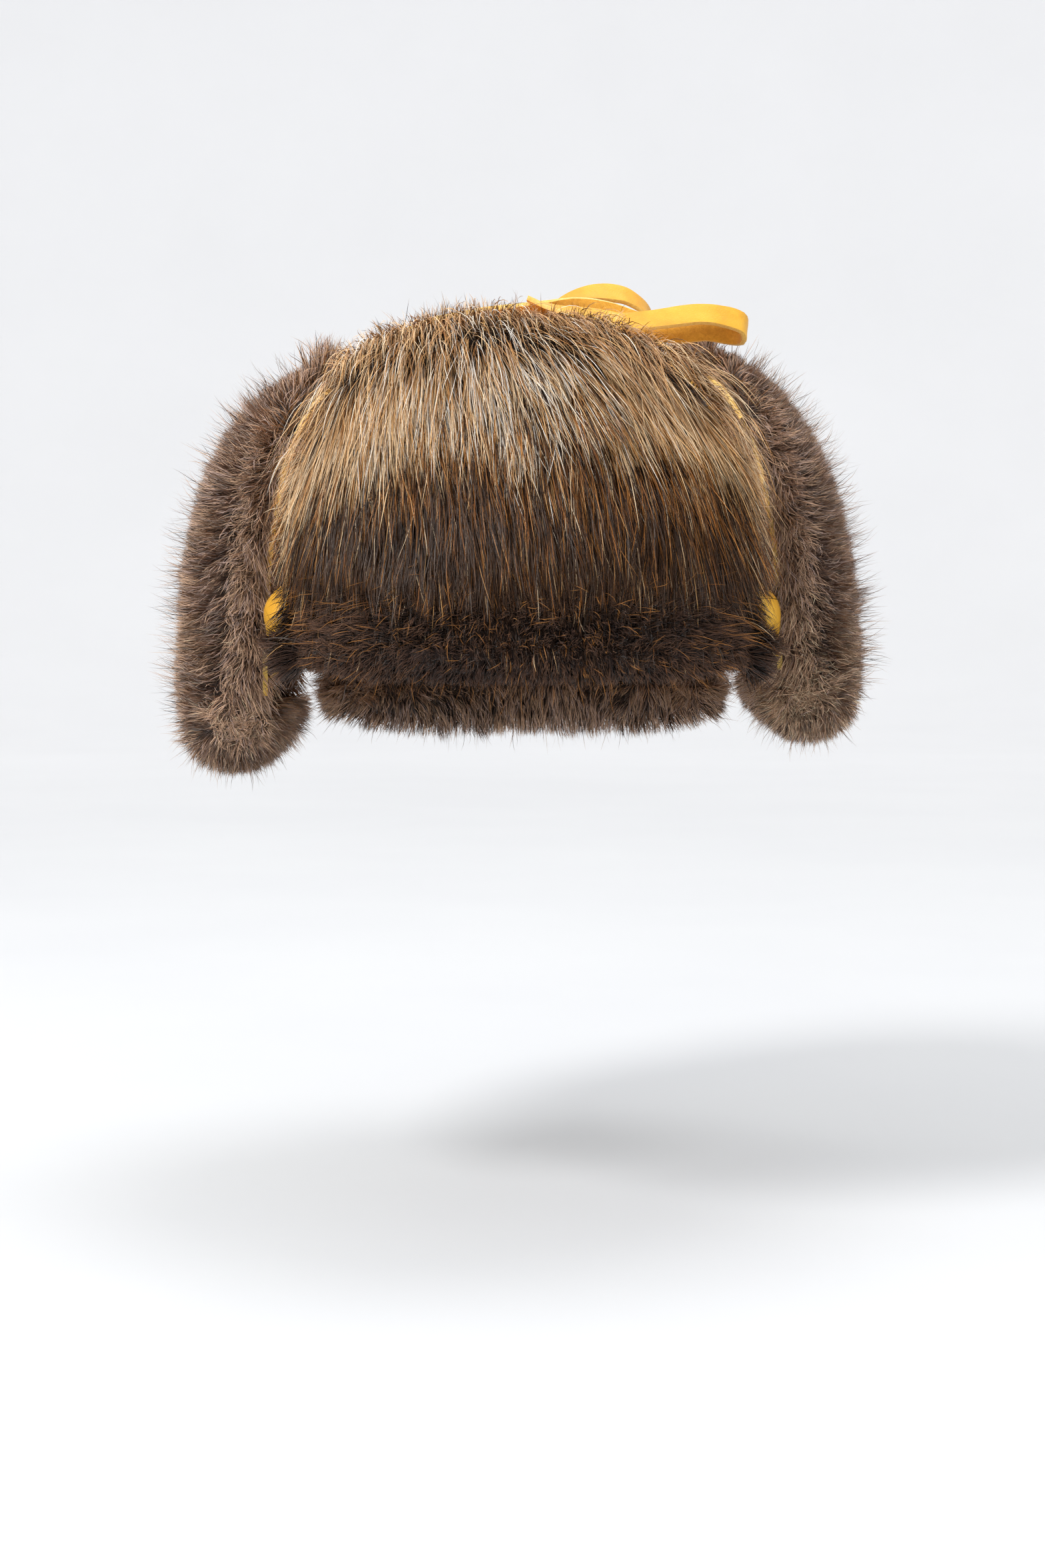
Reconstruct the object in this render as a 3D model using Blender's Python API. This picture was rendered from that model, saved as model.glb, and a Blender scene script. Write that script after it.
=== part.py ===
"""Trapper hat: leather crown with four fur flaps turned up and leather laces tied on top.

Metres, +Z up. The hat faces -Y. The origin is the centre of the head opening, at the rim.
Run with blender --background --python part.py, or from Blender's text editor.
"""

import math

import bpy
import numpy as np

# Crown, measured on its leather's outside
CROWN_HALF_WIDTH = 0.0875
CROWN_HALF_LENGTH = 0.107
CROWN_HEIGHT = 0.1125
CROWN_FULLNESS = 0.75  # lower values make the wall steeper and the top flatter
CROWN_BOTTOM = 0.0018  # the crown's cut edge stands this far above the binding's underside
APEX_ANGLE = math.radians(89.85)  # the gores stop just short of the apex
GORE_GAP = 0.0005

LEATHER = 0.0017
LINING = 0.0022
SWEATBAND = 0.0012
SWEATBAND_HEIGHT = 0.031
LAYER_GAP = 0.0004

BINDING = 0.0011
BINDING_LEG = 0.0075

# Flap layers, from the crown side outwards
FLAP_LAYER_GAP = 0.0007
INTERLINING = 0.0018
INTERLINING_REACH = 0.5  # share of its outermost strip that the interlining keeps
PELT_SKIN_RADIUS = 0.0045  # radius of the pelt's skin side round the fold
ROLL_START = math.radians(168)
EDGE_THICKNESS = 0.35  # share of the pelt's thickness left at its side edges
EDGE_ROUNDING = 6  # a higher power keeps the pelt thick closer to its side edges
FOLD_BLEND = 0.2  # share of the flap's height over which the skin leaves the fold
CREST_SPAN = 0.985  # keeps the crest's sides from running down to the fold

# Laces: 8 x 2 mm straps, carried here by round tubes of the same cross-section area
LACE_WIDTH = 0.008
LACE_THICKNESS = 0.002
LACE_RADIUS = math.sqrt(LACE_WIDTH * LACE_THICKNESS / math.pi)
LACE_STEP = 0.0045

TAB_WIDTH = 0.012
TAB_THICKNESS = 0.0014
TAB_GAP = 0.0006
TAB_OVERHANG = 0.003
TAB_SHIFT = -0.004

# Each flap: out and along are its directions, hinge is (outward distance, height), and
# inner and outer are four control points each, (outward distance, height), that start
# above the fold and end at the tip. bow is its curve round the head. half_base and
# half_tip are half widths, centre_base and centre_tip their middles, taper how late it
# narrows, and crest and crest_power round off its top corners.
FLAPS = {
    "front_flap": {
        "out": (0, -1, 0),
        "along": (1, 0, 0),
        "hinge": (0.1190, 0.0015),
        "roll": 0.0093,
        "inner": ((0.1125, 0.0015), (0.1125, 0.042), (0.1065, 0.081), (0.0925, 0.0985)),
        "outer": ((0.1283, 0.0015), (0.1305, 0.042), (0.1215, 0.088), (0.0995, 0.1035)),
        "bow": 6.6,
        "half_base": 0.0730,
        "half_tip": 0.0600,
        "centre_base": 0.0,
        "centre_tip": -0.0050,
        "taper": 3.0,
        "crest": 0.17,
        "crest_power": 2.6,
        "leather_reach": 1.25,
    },
    "left_flap": {
        "out": (-1, 0, 0),
        "along": (0, 1, 0),
        "hinge": (0.1015, -0.0245),
        "roll": 0.0165,
        "inner": ((0.0920, -0.0245), (0.0925, 0.020), (0.0900, 0.072), (0.0640, 0.0895)),
        "outer": ((0.1180, -0.0245), (0.1205, 0.030), (0.1140, 0.083), (0.0665, 0.0975)),
        "bow": 1.6,
        "half_base": 0.0665,
        "half_tip": 0.0180,
        "centre_base": 0.0085,
        "centre_tip": 0.0040,
        "taper": 3.0,
        "crest": 0.10,
        "crest_power": 4.0,
        "leather_reach": 1.0,
    },
    "right_flap": {
        "out": (1, 0, 0),
        "along": (0, 1, 0),
        "hinge": (0.1005, -0.0150),
        "roll": 0.0155,
        "inner": ((0.0920, -0.0150), (0.0925, 0.025), (0.0890, 0.078), (0.0590, 0.0955)),
        "outer": ((0.1160, -0.0150), (0.1178, 0.035), (0.1070, 0.088), (0.0610, 0.1040)),
        "bow": 1.6,
        "half_base": 0.0665,
        "half_tip": 0.0180,
        "centre_base": 0.0085,
        "centre_tip": 0.0040,
        "taper": 3.0,
        "crest": 0.10,
        "crest_power": 4.0,
        "leather_reach": 1.0,
    },
    "neck_flap": {
        "out": (0, 1, 0),
        "along": (1, 0, 0),
        "hinge": (0.1210, -0.0200),
        "roll": 0.0160,
        "inner": ((0.1118, -0.0200), (0.1120, 0.025), (0.1060, 0.065), (0.0910, 0.0810)),
        "outer": ((0.1370, -0.0200), (0.1380, 0.030), (0.1270, 0.075), (0.0970, 0.0870)),
        "bow": 6.2,
        "half_base": 0.0690,
        "half_tip": 0.0560,
        "centre_base": 0.0,
        "centre_tip": 0.0,
        "taper": 3.0,
        "crest": 0.12,
        "crest_power": 3.0,
        "leather_reach": 1.0,
    },
}

# Routes of the laces, from the flap's tip to the cut end
LEFT_LACE_ROUTE = [
    (-0.0600, -0.0040, 0.0948),
    (-0.0540, -0.0040, 0.1002),
    (-0.0470, -0.0040, 0.1050),
    (-0.0380, -0.0040, 0.1096),
    (-0.0260, -0.0040, 0.1134),
    (-0.0130, -0.0042, 0.1152),
    (0.0000, -0.0045, 0.1156),
    (0.0100, -0.0060, 0.1158),
    (0.0190, -0.0110, 0.1160),
    (0.0290, -0.0170, 0.1140),
    (0.0400, -0.0205, 0.1100),
    (0.0520, -0.0220, 0.1072),
    (0.0630, -0.0225, 0.1080),
    (0.0705, -0.0230, 0.1068),
    (0.0755, -0.0258, 0.1064),
    (0.0750, -0.0292, 0.1092),
    (0.0680, -0.0308, 0.1116),
    (0.0580, -0.0312, 0.1122),
    (0.0460, -0.0312, 0.1106),
    (0.0340, -0.0300, 0.1098),
    (0.0230, -0.0245, 0.1128),
    (0.0140, -0.0180, 0.1150),
    (0.0070, -0.0130, 0.1172),
    (0.0020, -0.0120, 0.1190),
]
RIGHT_LACE_ROUTE = [
    (0.0560, 0.0040, 0.0993),
    (0.0510, 0.0040, 0.1034),
    (0.0440, 0.0040, 0.1073),
    (0.0360, 0.0040, 0.1107),
    (0.0270, 0.0040, 0.1133),
    (0.0180, 0.0045, 0.1150),
    (0.0110, 0.0070, 0.1160),
    (0.0125, 0.0110, 0.1188),
    (0.0190, 0.0130, 0.1220),
    (0.0280, 0.0140, 0.1237),
    (0.0370, 0.0150, 0.1222),
    (0.0435, 0.0165, 0.1178),
    (0.0450, 0.0190, 0.1128),
    (0.0400, 0.0220, 0.1100),
    (0.0310, 0.0230, 0.1114),
    (0.0210, 0.0220, 0.1134),
    (0.0110, 0.0195, 0.1152),
    (0.0010, 0.0180, 0.1160),
    (-0.0080, 0.0190, 0.1156),
]

# Corner pieces: leather folds between the front flap's ends and the ear flaps
CORNER_INNER = (0.0768, -0.0665)
CORNER_OUTER = (0.0845, -0.0640)
CORNER_BOTTOM = -0.010
CORNER_TOP = 0.046
CORNER_NARROWING = 0.45  # share of its width lost from bottom to top
CORNER_BULGE = 0.0012

GORE_STEPS_ROUND = 10
GORE_STEPS_UP = 10
RING_STEPS = 64
FLAP_STEPS_ALONG = 16
FLAP_STEPS_UP = 12
PELT_STEPS_ROLL = 7


def clear_scene():
    for thing in list(bpy.data.objects):
        bpy.data.objects.remove(thing)


def material(name, colour, roughness, metallic=0.0):
    made = bpy.data.materials.new(name)
    made.use_nodes = True
    shader = made.node_tree.nodes["Principled BSDF"]
    shader.inputs["Base Color"].default_value = (*colour, 1.0)
    shader.inputs["Roughness"].default_value = roughness
    shader.inputs["Metallic"].default_value = metallic
    made.diffuse_color = (*colour, 1.0)
    return made


def gold_leather():
    return material("gold_leather", (0.78, 0.42, 0.06), 0.55)


def sweatband_leather():
    return material("sweatband_leather", (0.16, 0.09, 0.045), 0.5)


def lining_cloth():
    return material("lining_cloth", (0.05, 0.035, 0.03), 0.6)


def felt():
    return material("interlining_felt", (0.35, 0.32, 0.28), 0.95)


def guard_fur():
    return material("guard_hair_pelt", (0.22, 0.12, 0.06), 0.8)


def under_fur():
    return material("underfur_pelt", (0.12, 0.075, 0.055), 0.9)


def add_object(name, points, faces, look, origin=(0, 0, 0)):
    """Adds a smooth-shaded mesh object whose origin is the given point."""
    shift = np.asarray(origin, float)
    mesh = bpy.data.meshes.new(name)
    mesh.from_pydata((np.asarray(points) - shift).tolist(), [], faces)
    mesh.materials.append(look)
    mesh.shade_smooth()
    mesh.set_sharp_from_angle(angle=math.radians(50))
    made = bpy.data.objects.new(name, mesh)
    made.location = origin
    bpy.context.scene.collection.objects.link(made)
    return made


def turned_out(points, faces):
    """The faces, reversed if they enclose a negative volume."""
    volume = 0.0
    for face in faces:
        a = points[face[0]]
        for second, third in zip(face[1:-1], face[2:]):
            volume += np.dot(a, np.cross(points[second], points[third]))
    return faces if volume > 0 else [face[::-1] for face in faces]


def closed_sheet(name, outer, inner, look, origin=(0, 0, 0)):
    """A closed solid between two grids of points with the same rows and columns.

    Both sides split their quads along the same diagonal, so stacked sheets stay parallel.
    """
    rows, columns = outer.shape[:2]
    points = np.concatenate([outer.reshape(-1, 3), inner.reshape(-1, 3)])
    back = rows * columns
    faces = []
    for i in range(rows - 1):
        for j in range(columns - 1):
            a = i * columns + j
            b = a + columns
            for front in ((a, a + 1, b + 1), (a, b + 1, b)):
                faces.append(front)
                faces.append(tuple(corner + back for corner in reversed(front)))
    rim = list(range(columns))
    rim += [i * columns + columns - 1 for i in range(1, rows)]
    rim += [(rows - 1) * columns + j for j in range(columns - 2, -1, -1)]
    rim += [i * columns for i in range(rows - 2, 0, -1)]
    for a, b in zip(rim, rim[1:] + rim[:1]):
        faces.append((b, a, a + back, b + back))
    return add_object(name, points, turned_out(points, faces), look, origin)


def closed_ring(name, sections, look):
    """A closed solid from equal section outlines, joined round into a ring."""
    count, size = sections.shape[:2]
    points = sections.reshape(-1, 3)
    faces = []
    for i in range(count):
        following = (i + 1) % count
        for j in range(size):
            k = (j + 1) % size
            faces.append(
                (i * size + j, i * size + k, following * size + k, following * size + j)
            )
    return add_object(name, points, turned_out(points, faces), look)


def dome_point(bearing, rise, inset):
    """A point on the crown: bearing round it, rise from 0 at the rim to 90 degrees."""
    reach = math.cos(rise) ** CROWN_FULLNESS
    return (
        (CROWN_HALF_WIDTH - inset) * reach * math.cos(bearing),
        (CROWN_HALF_LENGTH - inset) * reach * math.sin(bearing),
        (CROWN_HEIGHT - inset) * math.sin(rise),
    )


def dome_quarter(signs, inset, bottom):
    """A grid over one quarter of the dome, moved off the two seams beside it."""
    start = math.asin(bottom / (CROWN_HEIGHT - inset))
    grid = np.zeros((GORE_STEPS_UP + 1, GORE_STEPS_ROUND + 1, 3))
    for i in range(GORE_STEPS_UP + 1):
        rise = start + (APEX_ANGLE - start) * i / GORE_STEPS_UP
        for j in range(GORE_STEPS_ROUND + 1):
            bearing = 0.5 * math.pi * j / GORE_STEPS_ROUND
            x, y, z = dome_point(bearing, rise, inset)
            grid[i, j] = (
                signs[0] * (x + GORE_GAP / 2),
                signs[1] * (y + GORE_GAP / 2),
                z,
            )
    return grid


def make_crown(leather, lining):
    quarters = {
        "front_left": (-1, -1),
        "front_right": (1, -1),
        "rear_left": (-1, 1),
        "rear_right": (1, 1),
    }
    lining_outside = LEATHER + LAYER_GAP
    for where, signs in quarters.items():
        closed_sheet(
            f"crown_gore_{where}",
            dome_quarter(signs, 0.0, CROWN_BOTTOM),
            dome_quarter(signs, LEATHER, CROWN_BOTTOM),
            leather,
        )
        closed_sheet(
            f"lining_{where}",
            dome_quarter(signs, lining_outside, CROWN_BOTTOM),
            dome_quarter(signs, lining_outside + LINING, CROWN_BOTTOM),
            lining,
        )


def rim_section(bearing, outline):
    """Section points (inset from the crown's outside, height), placed at a bearing."""
    across = (math.cos(bearing), math.sin(bearing))
    placed = []
    for inset, height in outline:
        rise = math.asin(max(height, 0.0) / CROWN_HEIGHT)
        reach = math.cos(rise) ** CROWN_FULLNESS
        placed.append(
            (
                (CROWN_HALF_WIDTH * reach - inset) * across[0],
                (CROWN_HALF_LENGTH * reach - inset) * across[1],
                height,
            )
        )
    return placed


def ring_from_outline(name, outline, look):
    bearings = [2 * math.pi * i / RING_STEPS for i in range(RING_STEPS)]
    sections = np.array([rim_section(bearing, outline) for bearing in bearings])
    return closed_ring(name, sections, look)


def make_rim(gold, band_leather):
    band_outside = LEATHER + LINING + 3 * LAYER_GAP
    band_inside = band_outside + SWEATBAND
    low = CROWN_BOTTOM
    high = low + SWEATBAND_HEIGHT
    middle = 0.5 * (low + high)
    ring_from_outline(
        "sweatband",
        [
            (band_outside, low),
            (band_inside, low),
            (band_inside, middle),
            (band_inside, high),
            (band_outside, high),
            (band_outside, middle),
        ],
        band_leather,
    )
    leg_out = -(LAYER_GAP + GORE_GAP)
    leg_in = band_inside + LAYER_GAP
    shelf = BINDING
    top = BINDING_LEG
    ring_from_outline(
        "rim_binding",
        [
            (leg_out - BINDING, 0.0),
            (leg_in + BINDING, 0.0),
            (leg_in + BINDING, top),
            (leg_in, top),
            (leg_in, shelf),
            (leg_out, shelf),
            (leg_out, top),
            (leg_out - BINDING, top),
        ],
        gold,
    )


def bezier(controls, t):
    a, b, c, d = (np.asarray(p, float) for p in controls)
    s = 1 - t
    return s**3 * a + 3 * s * s * t * b + 3 * s * t * t * c + t**3 * d


def bezier_normal(controls, t):
    """The outward normal of a flap profile that climbs from the fold to the tip."""
    step = bezier(controls, min(t + 0.01, 1.0)) - bezier(controls, max(t - 0.01, 0.0))
    step /= np.linalg.norm(step)
    return np.array([step[1], -step[0]])


def crest_share(flap, u):
    """How far up its profile the flap reaches at share u of its half width."""
    return max(1 - abs(CREST_SPAN * u) ** flap["crest_power"], 0.0) ** flap["crest"]


def along_place(flap, w, u):
    narrowing = w ** flap["taper"]
    half = flap["half_base"] + (flap["half_tip"] - flap["half_base"]) * narrowing
    centre = flap["centre_base"]
    centre += (flap["centre_tip"] - flap["centre_base"]) * narrowing
    return centre + u * half


def flap_point(flap, profile, along):
    """World place of a profile point (outward distance, height) at a place along the flap."""
    out = profile[0] - flap["bow"] * (along - flap["centre_base"]) ** 2
    place = out * np.asarray(flap["out"], float) + along * np.asarray(flap["along"], float)
    return place + np.array([0, 0, profile[1]])


def inner_offset(flap, t, along, distance):
    """The profile point at a true distance outside the flap's curved inner face."""
    slope = 2 * flap["bow"] * (along - flap["centre_base"])
    stretch = math.sqrt(1 + slope * slope)
    return bezier(flap["inner"], t) + distance * stretch * bezier_normal(flap["inner"], t)


def layer_grid(flap, offset, first_row, reach):
    """A grid at a set distance outside the flap's inner face. reach moves its side edges."""
    grid = np.zeros((FLAP_STEPS_UP + 1 - first_row, FLAP_STEPS_ALONG + 1, 3))
    for i in range(len(grid)):
        w = (first_row + i) / FLAP_STEPS_UP
        for j in range(FLAP_STEPS_ALONG + 1):
            u = 2 * j / FLAP_STEPS_ALONG - 1
            t = w * crest_share(flap, u)
            along = along_place(flap, t, u)
            grid[i, j] = flap_point(flap, inner_offset(flap, t, along, offset), along)
    grid[:, 0] = grid[:, 1] + (grid[:, 0] - grid[:, 1]) * reach
    grid[:, -1] = grid[:, -2] + (grid[:, -1] - grid[:, -2]) * reach
    return grid


def smooth_step(x):
    x = min(max(x, 0.0), 1.0)
    return x * x * (3 - 2 * x)


def edge_share(u):
    """Share of the pelt's thickness at share u of its half width."""
    return EDGE_THICKNESS + (1 - EDGE_THICKNESS) * math.sqrt(max(1 - abs(u) ** EDGE_ROUNDING, 0))


def pelt_row(flap, row, u):
    """(profile parameter, skin, fur) of one row: round the fold first, then up the flap."""
    hinge = np.asarray(flap["hinge"], float)
    if row < PELT_STEPS_ROLL:
        angle = ROLL_START + (2 * math.pi - ROLL_START) * row / PELT_STEPS_ROLL
        ray = np.array([math.cos(angle), math.sin(angle)])
        return 0.0, hinge + PELT_SKIN_RADIUS * ray, hinge + flap["roll"] * ray
    t = (row - PELT_STEPS_ROLL) / FLAP_STEPS_UP * crest_share(flap, u)
    depth = LEATHER + INTERLINING + 2 * FLAP_LAYER_GAP
    skin = inner_offset(flap, t, along_place(flap, t, u), depth)
    turn = hinge + np.array([PELT_SKIN_RADIUS, 0.0])
    skin = turn + (skin - turn) * smooth_step(t / FOLD_BLEND)
    return t, skin, bezier(flap["outer"], t)


def make_pelt(name, flap, look, origin):
    rows = PELT_STEPS_ROLL + FLAP_STEPS_UP + 1
    outer = np.zeros((rows, FLAP_STEPS_ALONG + 1, 3))
    inner = np.zeros_like(outer)
    for i in range(rows):
        for j in range(FLAP_STEPS_ALONG + 1):
            u = 2 * j / FLAP_STEPS_ALONG - 1
            t, skin, fur = pelt_row(flap, i, u)
            fur = skin + (fur - skin) * edge_share(u)
            along = along_place(flap, t, u)
            outer[i, j] = flap_point(flap, fur, along)
            inner[i, j] = flap_point(flap, skin, along)
    return closed_sheet(name, outer, inner, look, origin)


def make_layer(name, flap, low, high, first_row, reach, look, origin):
    outer = layer_grid(flap, high, first_row, reach)
    inner = layer_grid(flap, low, first_row, reach)
    return closed_sheet(name, outer, inner, look, origin)


def hinge_point(flap):
    out = np.asarray(flap["out"], float) * flap["hinge"][0]
    along = np.asarray(flap["along"], float) * flap["centre_base"]
    return tuple(out + along + np.array([0, 0, flap["hinge"][1]]))


def make_flap(name, gold, interlining, fur):
    flap = FLAPS[name]
    origin = hinge_point(flap)
    felt_low = LEATHER + FLAP_LAYER_GAP
    leather_reach = flap["leather_reach"]
    make_layer(f"{name}_leather", flap, 0.0, LEATHER, 1, leather_reach, gold, origin)
    make_layer(
        f"{name}_interlining",
        flap,
        felt_low,
        felt_low + INTERLINING,
        2,
        INTERLINING_REACH,
        interlining,
        origin,
    )
    make_pelt(f"{name}_pelt", flap, fur, origin)


def make_lace_tab(name, flap, gold):
    """A short leather tab under the flap's tip, where the lace is sewn on."""
    tip_run = bezier(flap["inner"], 1.0) - bezier(flap["inner"], 0.97)
    tip_run *= TAB_OVERHANG / np.linalg.norm(tip_run)
    middle = flap["centre_tip"] + TAB_SHIFT
    outer, inner = np.zeros((4, 3, 3)), np.zeros((4, 3, 3))
    for i in range(4):
        t = min((FLAP_STEPS_UP - 2 + i) / FLAP_STEPS_UP, 1.0)
        overhang = tip_run if i == 3 else 0 * tip_run
        for j, side in enumerate((-0.5, 0.0, 0.5)):
            along = middle + side * TAB_WIDTH
            top = inner_offset(flap, t, along, -TAB_GAP) + overhang
            low = inner_offset(flap, t, along, -TAB_GAP - TAB_THICKNESS) + overhang
            outer[i, j] = flap_point(flap, top, along)
            inner[i, j] = flap_point(flap, low, along)
    return closed_sheet(name, outer, inner, gold, hinge_point(flap))


def smooth_route(points, step):
    """Points about a step apart on a Catmull-Rom curve through the route's points."""
    route = np.asarray(points, float)
    padded = np.vstack([2 * route[0] - route[1], route, 2 * route[-1] - route[-2]])
    fine = []
    for a, b, c, d in zip(padded[:-3], padded[1:-2], padded[2:-1], padded[3:]):
        for t in np.linspace(0, 1, 12, endpoint=False):
            fine.append(
                0.5
                * (
                    2 * b
                    + (c - a) * t
                    + (2 * a - 5 * b + 4 * c - d) * t**2
                    + (3 * b - a - 3 * c + d) * t**3
                )
            )
    fine = np.array(fine + [route[-1]])
    travelled = np.concatenate([[0], np.cumsum(np.linalg.norm(np.diff(fine, axis=0), axis=1))])
    places = np.linspace(0, travelled[-1], round(travelled[-1] / step) + 1)
    return np.stack([np.interp(places, travelled, fine[:, k]) for k in range(3)], axis=1)


def make_lace(name, route, gold):
    curve = bpy.data.curves.new(name, "CURVE")
    curve.dimensions = "3D"
    curve.bevel_depth = LACE_RADIUS
    curve.bevel_resolution = 2
    curve.use_fill_caps = True
    points = smooth_route(route, LACE_STEP) - np.asarray(route[0])
    spline = curve.splines.new("POLY")
    spline.points.add(len(points) - 1)
    for place, point in zip(spline.points, points):
        place.co = (*point, 1.0)
    curve.materials.append(gold)
    made = bpy.data.objects.new(name, curve)
    made.location = route[0]
    bpy.context.scene.collection.objects.link(made)
    return made


def make_corner(name, side, gold):
    """A leather fold that closes the corner between the front flap and an ear flap."""
    rows, columns = 8, 5
    outer, inner = np.zeros((rows, columns, 3)), np.zeros((rows, columns, 3))
    for i in range(rows):
        up = i / (rows - 1)
        height = CORNER_BOTTOM + (CORNER_TOP - CORNER_BOTTOM) * up
        narrow = 1 - CORNER_NARROWING * up
        for j in range(columns):
            across = j / (columns - 1) * narrow
            x = CORNER_INNER[0] + (CORNER_OUTER[0] - CORNER_INNER[0]) * across
            y = CORNER_INNER[1] + (CORNER_OUTER[1] - CORNER_INNER[1]) * across
            y -= CORNER_BULGE * math.sin(math.pi * across)
            outer[i, j] = (side * x, y, height)
            inner[i, j] = (side * x, y + LEATHER, height)
    return closed_sheet(name, outer, inner, gold)


def main():
    clear_scene()
    gold = gold_leather()
    make_crown(gold, lining_cloth())
    make_rim(gold, sweatband_leather())
    interlining = felt()
    furs = {"front_flap": guard_fur()}
    plush = under_fur()
    for name in FLAPS:
        make_flap(name, gold, interlining, furs.get(name, plush))
    make_corner("left_corner_fold", -1, gold)
    make_corner("right_corner_fold", 1, gold)
    make_lace_tab("left_lace_tab", FLAPS["left_flap"], gold)
    make_lace_tab("right_lace_tab", FLAPS["right_flap"], gold)
    make_lace("left_lace", LEFT_LACE_ROUTE, gold)
    make_lace("right_lace", RIGHT_LACE_ROUTE, gold)


main()
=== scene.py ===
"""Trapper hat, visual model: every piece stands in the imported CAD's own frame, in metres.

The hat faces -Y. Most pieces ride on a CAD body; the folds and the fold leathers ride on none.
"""

import math

import bpy
import numpy as np
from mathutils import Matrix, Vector
from mathutils.kdtree import KDTree


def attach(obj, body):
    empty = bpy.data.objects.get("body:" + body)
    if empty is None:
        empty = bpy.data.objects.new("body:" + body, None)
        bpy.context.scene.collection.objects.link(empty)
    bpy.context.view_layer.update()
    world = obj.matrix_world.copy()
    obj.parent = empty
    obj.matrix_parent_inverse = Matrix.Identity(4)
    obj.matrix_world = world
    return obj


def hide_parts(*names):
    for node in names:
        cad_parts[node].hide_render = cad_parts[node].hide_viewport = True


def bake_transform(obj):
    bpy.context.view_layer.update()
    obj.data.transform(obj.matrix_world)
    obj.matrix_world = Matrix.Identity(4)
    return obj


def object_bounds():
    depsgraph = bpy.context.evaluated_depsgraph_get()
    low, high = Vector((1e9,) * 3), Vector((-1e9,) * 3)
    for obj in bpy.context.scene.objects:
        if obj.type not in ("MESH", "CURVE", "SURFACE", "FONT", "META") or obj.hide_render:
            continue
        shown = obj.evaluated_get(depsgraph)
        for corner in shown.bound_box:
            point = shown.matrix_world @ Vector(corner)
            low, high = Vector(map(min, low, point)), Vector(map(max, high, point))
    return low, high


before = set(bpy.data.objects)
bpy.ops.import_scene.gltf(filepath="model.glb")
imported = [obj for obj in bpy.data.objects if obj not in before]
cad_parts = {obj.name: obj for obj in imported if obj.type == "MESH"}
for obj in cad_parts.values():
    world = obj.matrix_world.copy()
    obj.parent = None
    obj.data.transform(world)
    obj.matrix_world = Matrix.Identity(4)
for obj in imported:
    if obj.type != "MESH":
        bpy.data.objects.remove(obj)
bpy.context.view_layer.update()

# ---- dimensions, as in the CAD but for the front flap's narrower top corners
CROWN_HALF_WIDTH = 0.0875
CROWN_HALF_LENGTH = 0.107
CROWN_HEIGHT = 0.1125
CROWN_FULLNESS = 0.75
CROWN_BOTTOM = 0.0018
LEATHER = 0.0017
LINING = 0.0022
SWEATBAND = 0.0012
SWEATBAND_HEIGHT = 0.031
LAYER_GAP = 0.0004
GORE_GAP = 0.0005
BINDING = 0.0011
BINDING_LEG = 0.0075
FLAP_LAYER_GAP = 0.0007
INTERLINING = 0.0018
PELT_SKIN_RADIUS = 0.0045
ROLL_START = math.radians(168)
FOLD_BLEND = 0.2
CREST_SPAN = 0.985
LACE_WIDTH = 0.008
LACE_THICKNESS = 0.002
TAB_WIDTH = 0.012
TAB_GAP = 0.0006
TAB_THICKNESS = 0.0014
TAB_SHIFT = -0.004

# Each flap: out and along are its directions, hinge is (outward distance, height), and
# inner and outer are four control points each, (outward distance, height), that start
# above the fold and end at the tip. bow is its curve round the head. half_base and
# half_tip are half widths, centre_base and centre_tip their middles, taper how late it
# narrows, and crest and crest_power round off its top corners.
EAR_SHAPE = {
    "along": (0, 1, 0),
    "bow": 1.6,
    "half_base": 0.0665,
    "half_tip": 0.0180,
    "centre_base": 0.0085,
    "centre_tip": 0.0040,
    "taper": 3.0,
    "crest": 0.10,
    "crest_power": 4.0,
    "leather_reach": 1.0,
}
FLAPS = {
    "front_flap": {
        "out": (0, -1, 0),
        "along": (1, 0, 0),
        "hinge": (0.1190, 0.0015),
        "roll": 0.0093,
        "inner": ((0.1125, 0.0015), (0.1125, 0.042), (0.1065, 0.081), (0.0925, 0.0985)),
        "outer": ((0.1283, 0.0015), (0.1305, 0.042), (0.1215, 0.088), (0.0995, 0.1035)),
        "bow": 6.6,
        "half_base": 0.0730,
        "half_tip": 0.0525,
        "centre_base": 0.0,
        "centre_tip": -0.0050,
        "taper": 2.4,
        "crest": 0.19,
        "crest_power": 2.6,
        "leather_reach": 1.25,
    },
    "left_flap": {
        **EAR_SHAPE,
        "out": (-1, 0, 0),
        "hinge": (0.1015, -0.0245),
        "roll": 0.0165,
        "inner": ((0.0920, -0.0245), (0.0925, 0.020), (0.0900, 0.072), (0.0640, 0.0895)),
        "outer": ((0.1180, -0.0245), (0.1205, 0.030), (0.1140, 0.083), (0.0665, 0.0975)),
    },
    "right_flap": {
        **EAR_SHAPE,
        "out": (1, 0, 0),
        "hinge": (0.1005, -0.0150),
        "roll": 0.0155,
        "inner": ((0.0920, -0.0150), (0.0925, 0.025), (0.0890, 0.078), (0.0590, 0.0955)),
        "outer": ((0.1160, -0.0150), (0.1178, 0.035), (0.1070, 0.088), (0.0610, 0.1040)),
    },
    "neck_flap": {
        "out": (0, 1, 0),
        "along": (1, 0, 0),
        "hinge": (0.1210, -0.0200),
        "roll": 0.0160,
        "inner": ((0.1118, -0.0200), (0.1120, 0.025), (0.1060, 0.065), (0.0910, 0.0810)),
        "outer": ((0.1370, -0.0200), (0.1380, 0.030), (0.1270, 0.075), (0.0970, 0.0870)),
        "bow": 6.2,
        "half_base": 0.0690,
        "half_tip": 0.0560,
        "centre_base": 0.0,
        "centre_tip": 0.0,
        "taper": 3.0,
        "crest": 0.12,
        "crest_power": 3.0,
        "leather_reach": 1.0,
    },
}

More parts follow.
